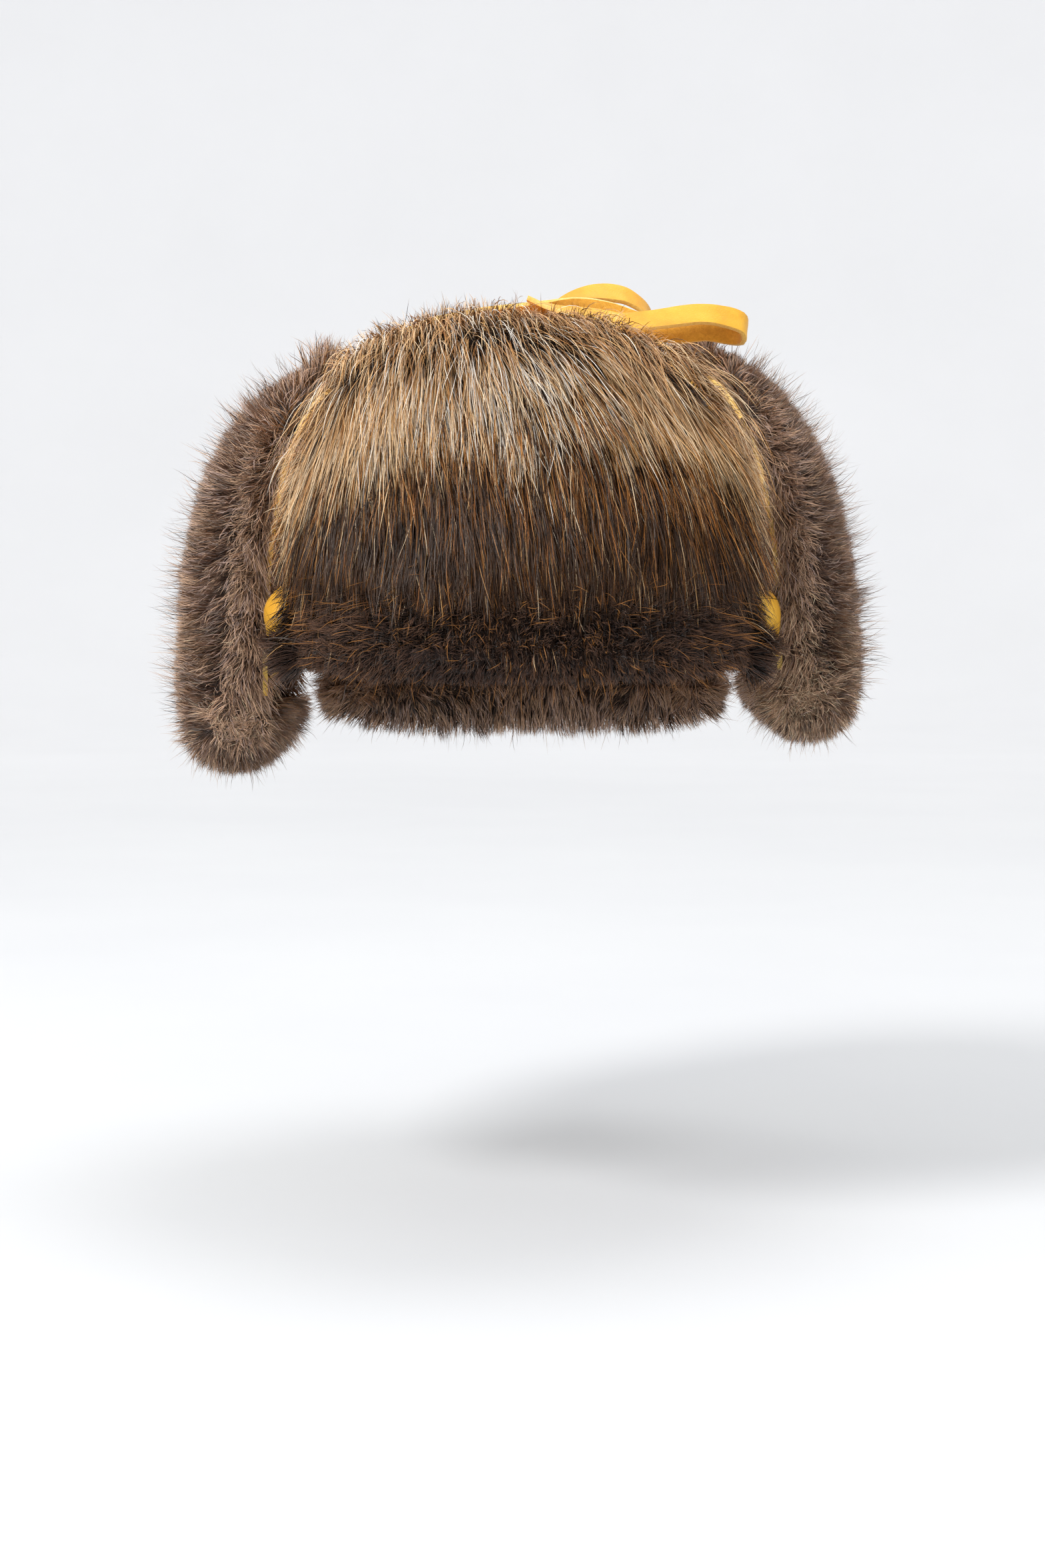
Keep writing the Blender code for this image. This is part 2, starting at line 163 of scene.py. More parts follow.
# Routes of the laces from the flap's tip to the cut end, in tenths of a millimetre
TENTHS = 10000
LEFT_LACE_ROUTE = [
    (-600, -40, 948), (-540, -40, 1002), (-470, -40, 1050), (-380, -40, 1096),
    (-260, -40, 1134), (-130, -42, 1152), (0, -45, 1156), (100, -60, 1158), (190, -110, 1160),
    (290, -170, 1140), (400, -205, 1100), (520, -220, 1072), (630, -225, 1080),
    (705, -230, 1068), (755, -258, 1064), (750, -292, 1092), (680, -308, 1116),
    (580, -312, 1122), (460, -312, 1106), (340, -300, 1098), (230, -245, 1128),
    (140, -180, 1150), (70, -130, 1172), (20, -120, 1190),
]
RIGHT_LACE_ROUTE = [
    (560, 40, 993), (510, 40, 1034), (440, 40, 1073), (360, 40, 1107), (270, 40, 1133),
    (180, 45, 1150), (110, 70, 1160), (125, 110, 1188), (190, 130, 1220), (280, 140, 1237),
    (370, 150, 1222), (435, 165, 1178), (450, 190, 1128), (400, 220, 1100), (310, 230, 1114),
    (210, 220, 1134), (110, 195, 1152), (10, 180, 1160), (-80, 190, 1156),
]


# ---- small tools
def smooth_step(x):
    x = np.clip(x, 0.0, 1.0)
    return x * x * (3 - 2 * x)


def unit(v):
    return v / np.maximum(np.linalg.norm(v, axis=-1, keepdims=True), 1e-12)


def hashed(cells, seed):
    """Repeatable numbers from 0 to 1 for integer cells."""
    h = cells[..., 0] * 374761393 + cells[..., 1] * 668265263 + cells[..., 2] * 2147483647
    h = (h + seed * 144665) & 0xFFFFFFFF
    h = ((h ^ (h >> 13)) * 1274126177) & 0xFFFFFFFF
    return ((h ^ (h >> 16)) & 0xFFFF) / 65535.0


def noise(points, size, seed=0):
    """Smooth noise from -1 to 1 over points, with features of about that size in metres."""
    p = np.asarray(points, float) / size
    cell = np.floor(p).astype(np.int64)
    f = p - cell
    f = f * f * (3 - 2 * f)
    total = 0.0
    for i in (0, 1):
        for j in (0, 1):
            for k in (0, 1):
                weight = (
                    (f[..., 0] if i else 1 - f[..., 0])
                    * (f[..., 1] if j else 1 - f[..., 1])
                    * (f[..., 2] if k else 1 - f[..., 2])
                )
                total = total + weight * hashed(cell + np.array([i, j, k]), seed)
    return 2 * total - 1


def layered_noise(points, size, seed=0, layers=3):
    total = 0.0
    for layer in range(layers):
        total = total + noise(points, size / 2**layer, seed + layer) / 2**layer
    return total


def grid_normals(grid):
    """Unit normals of a grid of points, from its rows and columns."""
    up = np.gradient(grid, axis=0)
    across = np.gradient(grid, axis=1)
    return unit(np.cross(across, up))


def mesh_object(name, points, faces, materials, slots=None):
    mesh = bpy.data.meshes.new(name)
    mesh.from_pydata(np.asarray(points, float).reshape(-1, 3).tolist(), [], faces)
    for look in materials:
        mesh.materials.append(look)
    if slots is not None:
        mesh.polygons.foreach_set("material_index", slots)
    mesh.shade_smooth()
    mesh.update()
    made = bpy.data.objects.new(name, mesh)
    bpy.context.scene.collection.objects.link(made)
    return made


def sheet_faces(rows, columns, back):
    """Faces of a closed sheet whose two sides are grids, and which of them are its rim."""
    faces = []
    for i in range(rows - 1):
        for j in range(columns - 1):
            a = i * columns + j
            faces.append((a, a + 1, a + columns + 1, a + columns))
    count = len(faces)
    faces += [tuple(c + back for c in reversed(face)) for face in faces]
    rim = list(range(columns))
    rim += [i * columns + columns - 1 for i in range(1, rows)]
    rim += [(rows - 1) * columns + j for j in range(columns - 2, -1, -1)]
    rim += [i * columns for i in range(rows - 2, 0, -1)]
    for a, b in zip(rim, rim[1:] + rim[:1]):
        faces.append((b, a, a + back, b + back))
    slots = [0] * count + [1] * count + [2] * (len(faces) - 2 * count)
    return faces, slots


def enclosed(points, faces):
    volume = 0.0
    points = np.asarray(points)
    for face in faces:
        a = points[face[0]]
        for second, third in zip(face[1:-1], face[2:]):
            volume += np.dot(a, np.cross(points[second], points[third]))
    return volume


def solid_object(name, points, faces, looks, slots, degrees):
    """A closed mesh with its faces outward, smooth but for edges sharper than degrees."""
    if enclosed(points, faces) < 0:
        faces = [face[::-1] for face in faces]
    made = mesh_object(name, points, faces, looks, slots)
    made.data.set_sharp_from_angle(angle=math.radians(degrees))
    return made


def sheet_object(name, outer, inner, front, back=None, edge=None, degrees=50):
    """A closed sheet: the outer grid takes front, the inner takes back, the rim takes edge."""
    rows, columns = outer.shape[:2]
    points = np.concatenate([outer.reshape(-1, 3), inner.reshape(-1, 3)])
    faces, slots = sheet_faces(rows, columns, rows * columns)
    looks = (front, back or front, edge or front)
    return solid_object(name, points, faces, looks, slots, degrees)


def ring_object(name, sections, look, degrees=50):
    """A closed ring of equal section outlines."""
    count, size = sections.shape[:2]
    faces = []
    for i in range(count):
        here, following = i * size, (i + 1) % count * size
        for j in range(size):
            k = (j + 1) % size
            faces.append((here + j, here + k, following + k, following + j))
    return solid_object(name, sections.reshape(-1, 3), faces, (look,), None, degrees)


def tube_faces(rows, size, first=0):
    faces = []
    for i in range(rows - 1):
        for j in range(size):
            k = (j + 1) % size
            a, b = first + i * size, first + (i + 1) * size
            faces.append((a + j, a + k, b + k, b + j))
    faces.append(tuple(first + j for j in reversed(range(size))))
    faces.append(tuple(first + (rows - 1) * size + j for j in range(size)))
    return faces


def settle(piece, slot, body, *nodes):
    """Hides the CAD nodes a piece replaces, and sets it on the body it rides on. slot is not used.
    """
    if nodes:
        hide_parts(*nodes)
    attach(piece, body)


# ---- node materials
def linear(code):
    """The linear colour of an sRGB hex code."""
    parts = [int(code[i : i + 2], 16) / 255 for i in (0, 2, 4)]
    return tuple(p / 12.92 if p <= 0.04045 else ((p + 0.055) / 1.055) ** 2.4 for p in parts)


class Look:
    """A material in the making. Most methods add a node and return its output."""

    def __init__(self, name):
        self.material = bpy.data.materials.new(name)
        self.material.use_nodes = True
        self.tree = self.material.node_tree
        self.shader = self.tree.nodes["Principled BSDF"]

    def feed(self, node, inputs):
        """Links each output to its socket, or sets the socket to the value."""
        for key, value in inputs.items():
            socket = node.inputs[key]
            if isinstance(value, bpy.types.NodeSocket):
                self.tree.links.new(value, socket)
            else:
                socket.default_value = (*value, 1.0) if socket.type == "RGBA" else value

    def node(self, kind, inputs, **settings):
        made = self.tree.nodes.new(kind)
        for key, value in settings.items():
            setattr(made, key, value)
        self.feed(made, inputs)
        return made

    def place(self):
        return self.node("ShaderNodeTexCoord", {}).outputs["Object"]

    def noise(self, place, scale, detail=4.0, roughness=0.55, distortion=0.0):
        inputs = {"Vector": place, "Scale": scale, "Detail": detail}
        inputs |= {"Roughness": roughness, "Distortion": distortion}
        return self.node("ShaderNodeTexNoise", inputs).outputs["Fac"]

    def ramp(self, value, *stops):
        """A colour ramp of stops, (position, hex code or linear colour)."""
        made = self.node("ShaderNodeValToRGB", {"Fac": value})
        elements = made.color_ramp.elements
        while len(elements) < len(stops):
            elements.new(0.5)
        for element, (position, colour) in zip(elements, stops):
            element.position = position
            element.color = (*(linear(colour) if isinstance(colour, str) else colour), 1.0)
        return made.outputs["Color"]

    def span(self, value, low, high, start=0.0, end=1.0):
        """The value, from start to end, as a number from low to high."""
        inputs = {"Value": value, "From Min": start, "From Max": end}
        inputs |= {"To Min": low, "To Max": high}
        return self.node("ShaderNodeMapRange", inputs).outputs["Result"]

    def math(self, operation, *values):
        inputs = dict(enumerate(values))
        return self.node("ShaderNodeMath", inputs, operation=operation).outputs[0]

    def weighted(self, a, share_a, b, share_b):
        return self.math("MULTIPLY_ADD", a, share_a, self.math("MULTIPLY", b, share_b))

    def mix(self, share, a, b, blend="MIX"):
        inputs = {"Factor": share, 6: a, 7: b}
        return self.node("ShaderNodeMix", inputs, data_type="RGBA", blend_type=blend).outputs[2]

    def bump(self, height, strength, distance):
        inputs = {"Height": height, "Strength": strength, "Distance": distance}
        self.feed(self.shader, {"Normal": self.node("ShaderNodeBump", inputs).outputs["Normal"]})

    def done(self, colour, roughness, specular=0.5, sheen=0.0, sheen_roughness=0.5):
        inputs = {"Base Color": colour, "Roughness": roughness, "Specular IOR Level": specular}
        inputs |= {"Sheen Weight": sheen, "Sheen Roughness": sheen_roughness}
        self.feed(self.shader, inputs)
        return self.material


def leather_look(name, light, mid, dark, rough, pore, fuzz=0.0):
    """Tanned leather: mottled dye, pores and fine creases."""
    look = Look(name)
    place = look.place()
    fine = look.noise(place, 420.0, 3.0)
    inputs = {"Vector": place, "Scale": pore}
    cells = look.node("ShaderNodeTexVoronoi", inputs, feature="DISTANCE_TO_EDGE")
    cells = cells.outputs["Distance"]
    grain = look.span(cells, 0.82, 1.0)
    tone = look.node("ShaderNodeCombineColor", dict.fromkeys(range(3), grain)).outputs[0]
    dye = look.ramp(look.noise(place, 38.0, 5.0, 0.6), (0.30, dark), (0.50, mid), (0.72, light))
    look.bump(look.math("ADD", cells, fine), 0.35, 0.00035)
    colour = look.mix(0.55, dye, tone, "MULTIPLY")
    return look.done(colour, look.span(fine, *rough), 0.4, fuzz, 0.45)


def suede_look(name, light, mid, dark):
    """The napped flesh side of leather: soft fibres and no shine."""
    look = Look(name)
    place = look.place()
    nap = look.noise(place, 900.0, 6.0, 0.75, 0.6)
    both = look.weighted(nap, 0.5, look.noise(place, 60.0), 0.5)
    look.bump(nap, 0.6, 0.0005)
    colour = look.ramp(both, (0.32, dark), (0.50, mid), (0.66, light))
    return look.done(colour, look.span(nap, 0.85, 1.0), 0.15, 0.35)


def cloth_look(name, light, dark, thread, rough, sheen):
    """Woven cloth: two crossed sets of threads with slight streaks."""
    look = Look(name)
    place = look.place()
    inputs = {"Vector": place, "Scale": thread / 3, "Distortion": 0.4}
    waves = [
        look.node("ShaderNodeTexWave", inputs, bands_direction=way).outputs["Fac"]
        for way in ("X", "Z")
    ]
    weave = look.math("MULTIPLY", *waves)
    streak = look.noise(place, 120.0)
    both = look.weighted(weave, 0.4, streak, 0.8)
    look.bump(weave, 0.3, 0.0002)
    colour = look.ramp(both, (0.25, dark), (0.75, light))
    return look.done(colour, look.span(streak, *rough), sheen=sheen, sheen_roughness=0.35)


def fur_body_look(name, light, mid, dark, scale=700.0):
    """Matted underfur seen between the hairs: fine fibres and soft clumps."""
    look = Look(name)
    place = look.place()
    stretch = look.node("ShaderNodeMapping", {"Vector": place, "Scale": (1.0, 1.0, 0.35)})
    fibres = look.noise(stretch.outputs["Vector"], scale, 6.0, 0.7, 0.8)
    clumps = look.noise(place, 90.0, 3.0)
    both = look.weighted(fibres, 0.6, clumps, 0.4)
    look.bump(both, 0.7, 0.0015)
    colour = look.ramp(both, (0.30, dark), (0.50, mid), (0.72, light))
    return look.done(colour, look.span(clumps, 0.75, 0.95), 0.2, 0.2)


STRAND_UV = "OFBake"


def hair_look(name, columns, roughness, gloss, sheen=0.0):
    """Hair coloured from root to tip, and its count of columns. columns are (root, middle,
    tip) colours side by side across the strand map, and each strand lies on one of them."""
    look = Look(name)
    uv = look.node("ShaderNodeUVMap", {}, uv_map=STRAND_UV).outputs["UV"]
    split = look.node("ShaderNodeSeparateXYZ", {"Vector": uv}).outputs
    count = len(columns)
    ramps = []
    for part in range(3):
        stops = [((k + 0.5) / count, column[part]) for k, column in enumerate(columns)]
        ramps.append(look.ramp(split["X"], *stops))
    colour = look.mix(look.span(split["Y"], 0.0, 1.0, end=0.55), ramps[0], ramps[1])
    colour = look.mix(look.span(split["Y"], 0.0, 1.0, start=0.45), colour, ramps[2])
    inputs = {"Scale": 900.0, "Detail": 1.0, "W": split["X"]}
    streaks = look.node("ShaderNodeTexNoise", inputs, noise_dimensions="1D").outputs["Fac"]
    shade = look.ramp(streaks, (0.3, (0.72, 0.72, 0.72)), (0.7, (1, 1, 1)))
    colour = look.mix(1.0, colour, shade, "MULTIPLY")
    return look.done(colour, roughness, gloss, sheen, 0.4), count


# ---- camera
camera_data = bpy.data.cameras.new("camera")
camera = bpy.data.objects.new("camera", camera_data)
bpy.context.scene.collection.objects.link(camera)
bpy.context.scene.camera = camera
HALF_VIEW = math.radians(15)
camera_data.lens = camera_data.sensor_width / 2 / math.tan(HALF_VIEW)
CAMERA_TARGET = Vector((0.0, 0.0, -0.05005))
CAMERA_DISTANCE = 1.0375
CAMERA_PITCH = math.radians(4.4)
camera.location = CAMERA_TARGET + CAMERA_DISTANCE * Vector(
    (0.0, -math.cos(CAMERA_PITCH), math.sin(CAMERA_PITCH))
)
camera.rotation_euler = (math.radians(90) - CAMERA_PITCH, 0.0, 0.0)


# ---- laces
def smooth_route(points, step):
    """Points about a step apart on a Catmull-Rom curve through the route."""
    route = np.asarray(points, float)
    padded = np.vstack([2 * route[0] - route[1], route, 2 * route[-1] - route[-2]])
    fine = []
    for a, b, c, d in zip(padded[:-3], padded[1:-2], padded[2:-1], padded[3:]):
        for t in np.linspace(0, 1, ROUTE_STEPS, endpoint=False):
            straight = 2 * b + (c - a) * t
            bend = (2 * a - 5 * b + 4 * c - d) * t**2
            fine.append(0.5 * (straight + bend + (3 * b - a - 3 * c + d) * t**3))
    fine = np.array(fine + [route[-1]])
    gone = np.concatenate([[0], np.cumsum(np.linalg.norm(np.diff(fine, axis=0), axis=1))])
    places = np.linspace(0, gone[-1], round(gone[-1] / step) + 1)
    return np.stack([np.interp(places, gone, fine[:, k]) for k in range(3)], axis=1)


def strap_object(name, path, widths, seed):
    """A flat leather strap along path. widths are directions across it, spaced evenly
    along it, and its smooth side is to the left of them as it runs."""
    count = len(path)
    share = np.linspace(0, 1, count)
    places = np.linspace(0, 1, len(widths))
    across = np.stack([np.interp(share, places, [w[k] for w in widths]) for k in range(3)], axis=1)
    tangent = unit(np.gradient(path, axis=0))
    for _ in range(8):
        across[1:-1] = unit(across[:-2] + 2 * across[1:-1] + across[2:])
        across = unit(across - tangent * np.sum(across * tangent, axis=1, keepdims=True))
    face = unit(np.cross(tangent, across))
    wobble = 1 + 0.05 * noise(path, 0.009, seed)
    lift = 0.00018 * noise(path, 0.004, seed + 1)
    # Each corner of the outline: place across, height, and look.
    side = [2 * j / (STRAP_COLUMNS - 1) - 1 for j in range(STRAP_COLUMNS)]
    flat = [(s * 0.96, 1.0 - STRAP_BEVEL * (abs(s) == 1)) for s in side]
    outline = [(place, height, 0) for place, height in flat]
    outline += [(1.0, 0.35, 2), (1.0, -0.35, 2)]
    outline += [(-place, -height, 1) for place, height in flat]
    outline += [(-1.0, -0.35, 2), (-1.0, 0.35, 2)]
    size = len(outline)
    rings = np.zeros((count, size, 3))
    for j, (place, height, _) in enumerate(outline):
        offset = across * (place * LACE_WIDTH / 2 * wobble)[:, None]
        rise = height * LACE_THICKNESS / 2 + STRAP_CUP * place**2 + lift
        rings[:, j] = path + offset + face * rise[:, None]
    faces = tube_faces(count, size)
    kinds = []
    for j in range(size):
        pair = {outline[j][2], outline[(j + 1) % size][2]}
        kinds.append(2 if 2 in pair or pair == {0, 1} else pair.pop())
    slots = kinds * (count - 1) + [2, 2]
    looks = (gold, gold_suede, gold_edge)
    return solid_object(name, rings.reshape(-1, 3), faces, looks, slots, 40), rings.mean(axis=1)


gold = leather_look("gold_leather", "f2bd3a", "e3a72a", "c98a1e", (0.42, 0.60), 1100.0, 0.05)
gold_suede = suede_look("gold_suede", "f3c35c", "dda23a", "b87d24")
gold_edge = suede_look("gold_cut_edge", "f7dc98", "eac46a", "cf9c3f")
ROUTE_STEPS = 12
STRAP_COLUMNS = 7
STRAP_BEVEL = 0.18
STRAP_CUP = 0.00022
LACE_STEP = 0.0015
CAD_LACE_STEP = 0.0045

LEFT_WIDTHS = [
    (0, 1.0, 0), (0, 1.0, 0), (0, 1.0, 0), (0, 0.8, -0.6), (0, 0.2, -0.98), (0, -0.2, -0.98),
    (0, -0.1, -1.0), (0, -0.55, -0.83), (0, -0.60, -0.80), (0, -0.90, -0.40), (0, -1.0, 0),
]
RIGHT_WIDTHS = [
    (0, -1.0, 0), (0, -1.0, 0), (0, 0, -1.0), (0, 1.0, 0), (0, 0.85, 0.50), (0, 0.60, 0.80),
    (0, 0.80, 0.50), (0, 1.0, 0.1), (0, 1.0, 0), (0, 1.0, 0), (0, 1.0, 0),
]


def make_lace(name, tenths, widths, seed):
    route = np.array(tenths) / TENTHS
    path = smooth_route(smooth_route(route, CAD_LACE_STEP), LACE_STEP)
    piece, centres = strap_object(name + "_strap", path, widths, seed)
    settle(piece, "gold_leather", name, name)


make_lace("left_lace", LEFT_LACE_ROUTE, LEFT_WIDTHS, 11)
make_lace("right_lace", RIGHT_LACE_ROUTE, RIGHT_WIDTHS, 23)


# ---- flap shapes
def bezier(controls, t):
    p = np.asarray(controls, float)
    t = np.asarray(t, float)[..., None]
    s = 1 - t
    return s**3 * p[0] + 3 * s * s * t * p[1] + 3 * s * t * t * p[2] + t**3 * p[3]


def bezier_normal(controls, t):
    t = np.asarray(t, float)
    step = bezier(controls, np.minimum(t + 0.01, 1)) - bezier(controls, np.maximum(t - 0.01, 0))
    step = unit(step)
    return np.stack([step[..., 1], -step[..., 0]], axis=-1)


def crest_share(flap, u):
    top = np.maximum(1 - np.abs(CREST_SPAN * u) ** flap["crest_power"], 0.0)
    return top ** flap["crest"]


def along_place(flap, t, u):
    narrowing = t ** flap["taper"]
    half = flap["half_base"] + (flap["half_tip"] - flap["half_base"]) * narrowing
    centre = flap["centre_base"] + (flap["centre_tip"] - flap["centre_base"]) * narrowing
    return centre + u * half


def flap_point(flap, profile, along):
    out = profile[..., 0] - flap["bow"] * (along - flap["centre_base"]) ** 2
    place = out[..., None] * np.asarray(flap["out"], float)
    place = place + along[..., None] * np.asarray(flap["along"], float)
    place[..., 2] += profile[..., 1]
    return place


def inner_offset(flap, t, along, distance):
    slope = 2 * flap["bow"] * (along - flap["centre_base"])
    stretch = np.sqrt(1 + slope * slope)[..., None]
    return bezier(flap["inner"], t) + distance * stretch * bezier_normal(flap["inner"], t)


def pelt_profiles(flap, u, v):
    """Skin and fur profile points. v is below 0 round the fold and 0 to 1 up the flap."""
    hinge = np.asarray(flap["hinge"], float)
    angle = ROLL_START + (2 * math.pi - ROLL_START) * np.minimum(v + 1, 1.0)
    ray = np.stack([np.cos(angle), np.sin(angle)], axis=-1)
    t = np.maximum(v, 0.0) * crest_share(flap, u)
    along = along_place(flap, t, u)
    depth = LEATHER + INTERLINING + 2 * FLAP_LAYER_GAP
    skin = inner_offset(flap, t, along, depth)
    turn = hinge + np.array([PELT_SKIN_RADIUS, 0.0])
    skin = turn + (skin - turn) * smooth_step(t / FOLD_BLEND)[..., None]
    low = (v < 0)[..., None]
    skin = np.where(low, hinge + PELT_SKIN_RADIUS * ray, skin)
    fur = np.where(low, hinge + flap["roll"] * ray, bezier(flap["outer"], t))
    return skin, fur, along


def pelt_grids(flap, v_low, v_high, rows, columns, share, lumps, seed):
    """(skin side, fur side, whole pelt's fur side) grids of a pelt's dense body.

    share is how much of the pelt's thickness the body fills; the hair fills the rest.
    """
    v, u = np.meshgrid(
        np.linspace(v_low, v_high, rows), np.linspace(-1, 1, columns), indexing="ij"
    )
    skin, fur, along = pelt_profiles(flap, u, v)
    rounding = np.sqrt(np.maximum(1 - np.abs(u) ** 5, 0.02))
    tip = np.sqrt(np.maximum(1 - smooth_step((v - 0.82) / 0.18) ** 2 * 0.85, 0.0))
    full = flap_point(flap, skin + (fur - skin) * (0.45 + 0.55 * rounding)[..., None], along)
    inner = flap_point(flap, skin, along)
    body = skin + (fur - skin) * (share * rounding * tip)[..., None]
    body = flap_point(flap, body, along)
    bumps = layered_noise(body, lumps, seed, 3) * 0.0011
    body = body + grid_normals(body) * bumps[..., None] * flap["sign"] * rounding[..., None]
    return inner, body, full


for flap in FLAPS.values():
    turn = np.cross(flap["along"], (0, 0, 1))
    flap["sign"] = 1.0 if np.dot(turn, flap["out"]) > 0 else -1.0


# ---- hair
def sample_grid(grid, count, rng, weight=None):
    """Random places on a grid of points: (row, column) positions, spread evenly by area."""
    columns = grid.shape[1]
    a = grid[1:, :-1] - grid[:-1, :-1]
    b = grid[:-1, 1:] - grid[:-1, :-1]
    area = np.linalg.norm(np.cross(a, b), axis=-1)
    if weight is not None:
        area = area * weight[:-1, :-1]
    share = np.cumsum(area.ravel())
    pick = np.searchsorted(share, rng.random(count) * share[-1])
    pick = np.minimum(pick, area.size - 1)
    i, j = np.divmod(pick, columns - 1)
    return i + rng.random(count), j + rng.random(count)


def at_grid(values, row, column):
    """Values of a grid at fractional rows and columns."""
    i = np.minimum(row.astype(int), values.shape[0] - 2)
    j = np.minimum(column.astype(int), values.shape[1] - 2)
    f, g = (row - i), (column - j)
    if values.ndim > 2:
        f, g = f[:, None], g[:, None]
    low = values[i, j] * (1 - g) + values[i, j + 1] * g
    high = values[i + 1, j] * (1 - g) + values[i + 1, j + 1] * g
    return low * (1 - f) + high * f


def strand_paths(roots, start, end, length, steps, turn_power=1.0):
    """Centre lines: each strand leaves its root along start and ends along end."""
    t = (np.arange(steps) + 0.5) / steps
    t = (t**turn_power)[None, :, None]
    way = unit(start[:, None, :] * (1 - t) + end[:, None, :] * t)
    steps_along = way * (length / steps)[:, None, None]
    path = np.concatenate([np.zeros((len(roots), 1, 3)), np.cumsum(steps_along, axis=1)], axis=1)
    return roots[:, None, :] + path


def clumped(paths, rng, centres, pull, power=1.6):
    """The paths, drawn together towards the nearest of some of them, most at their tips."""
    count = len(paths)
    leaders = rng.choice(count, size=min(centres, count), replace=False)
    tree = KDTree(len(leaders))
    for index, leader in enumerate(leaders):
        tree.insert(Vector(paths[leader, 0]), index)
    tree.balance()
    nearest = np.array([tree.find(Vector(p))[1] for p in paths[:, 0]])
    target = paths[leaders[nearest]]
    t = np.linspace(0, 1, paths.shape[1])[None, :, None]
    amount = pull[:, None, None] * t**power
    return paths * (1 - amount) + target * amount, leaders[nearest]


def waved(paths, rng, height, waves):
    """The paths with a soft wave across each, growing from its root."""
    count, places = paths.shape[:2]
    t = np.linspace(0, 1, places)[None, :, None]
    across = unit(rng.normal(size=(count, 1, 3)))
    phase = rng.random((count, 1, 1)) * 2 * math.pi
    return paths + across * np.sin(phase + waves * 2 * math.pi * t) * height * t


def strand_object(name, paths, facing, width, shade, soft, hair, rng):
    """Flat tapering ribbons along the paths, shaded as if round. hair is from hair_look."""
    look, columns = hair
    count, places = paths.shape[:2]
    tangent = unit(np.gradient(paths, axis=1))
    tilt = unit(facing + 0.55 * rng.normal(size=facing.shape))
    side = unit(np.cross(tangent, tilt[:, None, :]))
    t = np.linspace(0, 1, places)
    half = 0.5 * width[:, None] * (0.75 + 0.25 * np.sin(math.pi * t)) * (1 - 0.85 * t**3)
    left = paths - side * half[..., None]
    right = paths + side * half[..., None]
    face = unit(np.cross(side, tangent))
    flip = np.sign(np.sum(face * facing[:, None, :], axis=-1, keepdims=True))
    face = face * np.where(flip == 0, 1.0, flip)
    cover = facing[:, None, :] * soft
    normal_left = unit(cover + (1 - soft) * unit(face - 0.5 * side))
    normal_right = unit(cover + (1 - soft) * unit(face + 0.5 * side))
    pairs = places - 1
    per = 2 * pairs + 1
    points = np.empty((count, per, 3))
    normals = np.empty((count, per, 3))
    points[:, 0 : 2 * pairs : 2], points[:, 1 : 2 * pairs : 2] = left[:, :-1], right[:, :-1]
    normals[:, 0 : 2 * pairs : 2] = normal_left[:, :-1]
    normals[:, 1 : 2 * pairs : 2] = normal_right[:, :-1]
    points[:, -1] = paths[:, -1]
    normals[:, -1] = unit(normal_left[:, -1] + normal_right[:, -1])
    quads = [(2 * k, 2 * k + 1, 2 * k + 3, 2 * k + 2) for k in range(pairs - 1)]
    tip = [2 * pairs - 2, 2 * pairs - 1, per - 1]
    pattern = np.array([c for quad in quads for c in quad] + tip)
    starts = np.array([4 * k for k in range(pairs)])
    loops = (np.arange(count)[:, None] * per + pattern[None, :]).ravel()
    loop_starts = (np.arange(count)[:, None] * len(pattern) + starts[None, :]).ravel()
    mesh = bpy.data.meshes.new(name)
    mesh.vertices.add(count * per)
    mesh.vertices.foreach_set("co", points.astype(np.float32).ravel())
    mesh.loops.add(len(loops))
    mesh.loops.foreach_set("vertex_index", loops.astype(np.int32))
    mesh.polygons.add(len(loop_starts))
    mesh.polygons.foreach_set("loop_start", loop_starts.astype(np.int32))
    mesh.update(calc_edges=True)
    mesh.materials.append(look)
    u_left = (shade + 0.28) / columns
    u_right = (shade + 0.72) / columns
    map_u = np.empty((count, per))
    map_u[:, 0 : 2 * pairs : 2] = u_left[:, None]
    map_u[:, 1 : 2 * pairs : 2] = u_right[:, None]
    map_u[:, -1] = 0.5 * (u_left + u_right)
    map_v = np.empty((count, per))
    map_v[:, 0 : 2 * pairs : 2] = t[None, :-1]
    map_v[:, 1 : 2 * pairs : 2] = t[None, :-1]
    map_v[:, -1] = 1.0
    place = np.stack([map_u, 0.01 + 0.98 * map_v], axis=-1).reshape(-1, 2)
    layer = mesh.uv_layers.new(name=STRAND_UV)
    layer.data.foreach_set("uv", place[loops].astype(np.float32).ravel())
    mesh.shade_smooth()
    mesh.normals_split_custom_set_from_vertices(normals.reshape(-1, 3).tolist())
    made = bpy.data.objects.new(name, mesh)
    bpy.context.scene.collection.objects.link(made)
    return made


# ---- fur looks
def palette(text):
    """One (root, middle, tip) row of hex codes for each line."""
    return [row.split() for row in text.strip().splitlines()]


# Columns 6 and 7, near white, are a painted highlight: pale strands that stand in for light
# glancing off the hair
GUARD_COLUMNS = palette("""
8a6440 e0b483 ecc797
785332 cf9f69 dca764
94704c ecca9f f2d09f
6b4727 b98651 c48846
9b7953 f2d8b2 f8dfba
664429 99693f a9713a
a58968 faf0de f8e8cb
b29c7e fffaf2 fbf2e4
1b110b 29190f 432916
170e09 22150d 301d12
24160e 452915 b26c2c
20140c 54341a c98036
170f0a 1f130c 2a1c14
3f2a1a 8f5c2e d8934a
2a1c15 402b22 604236
4a3020 a0733f e6b571
""")
PLUSH_COLUMNS = palette("""
644837 a07d63 c9a483
593f30 8f6d56 b89376
6b4e3e aa876e d3af92
51392b 81614b a88468
745746 b99477 e2be9d
624735 9e7960 caa285
7b5e48 c3a080 f2cea9
452f23 715542 92715c
82644f c9a285 f3ceac
624c41 a78a7c d0b7ae
513a2d 93745c d6b190
755a48 ba9a7a ffefcb
""")
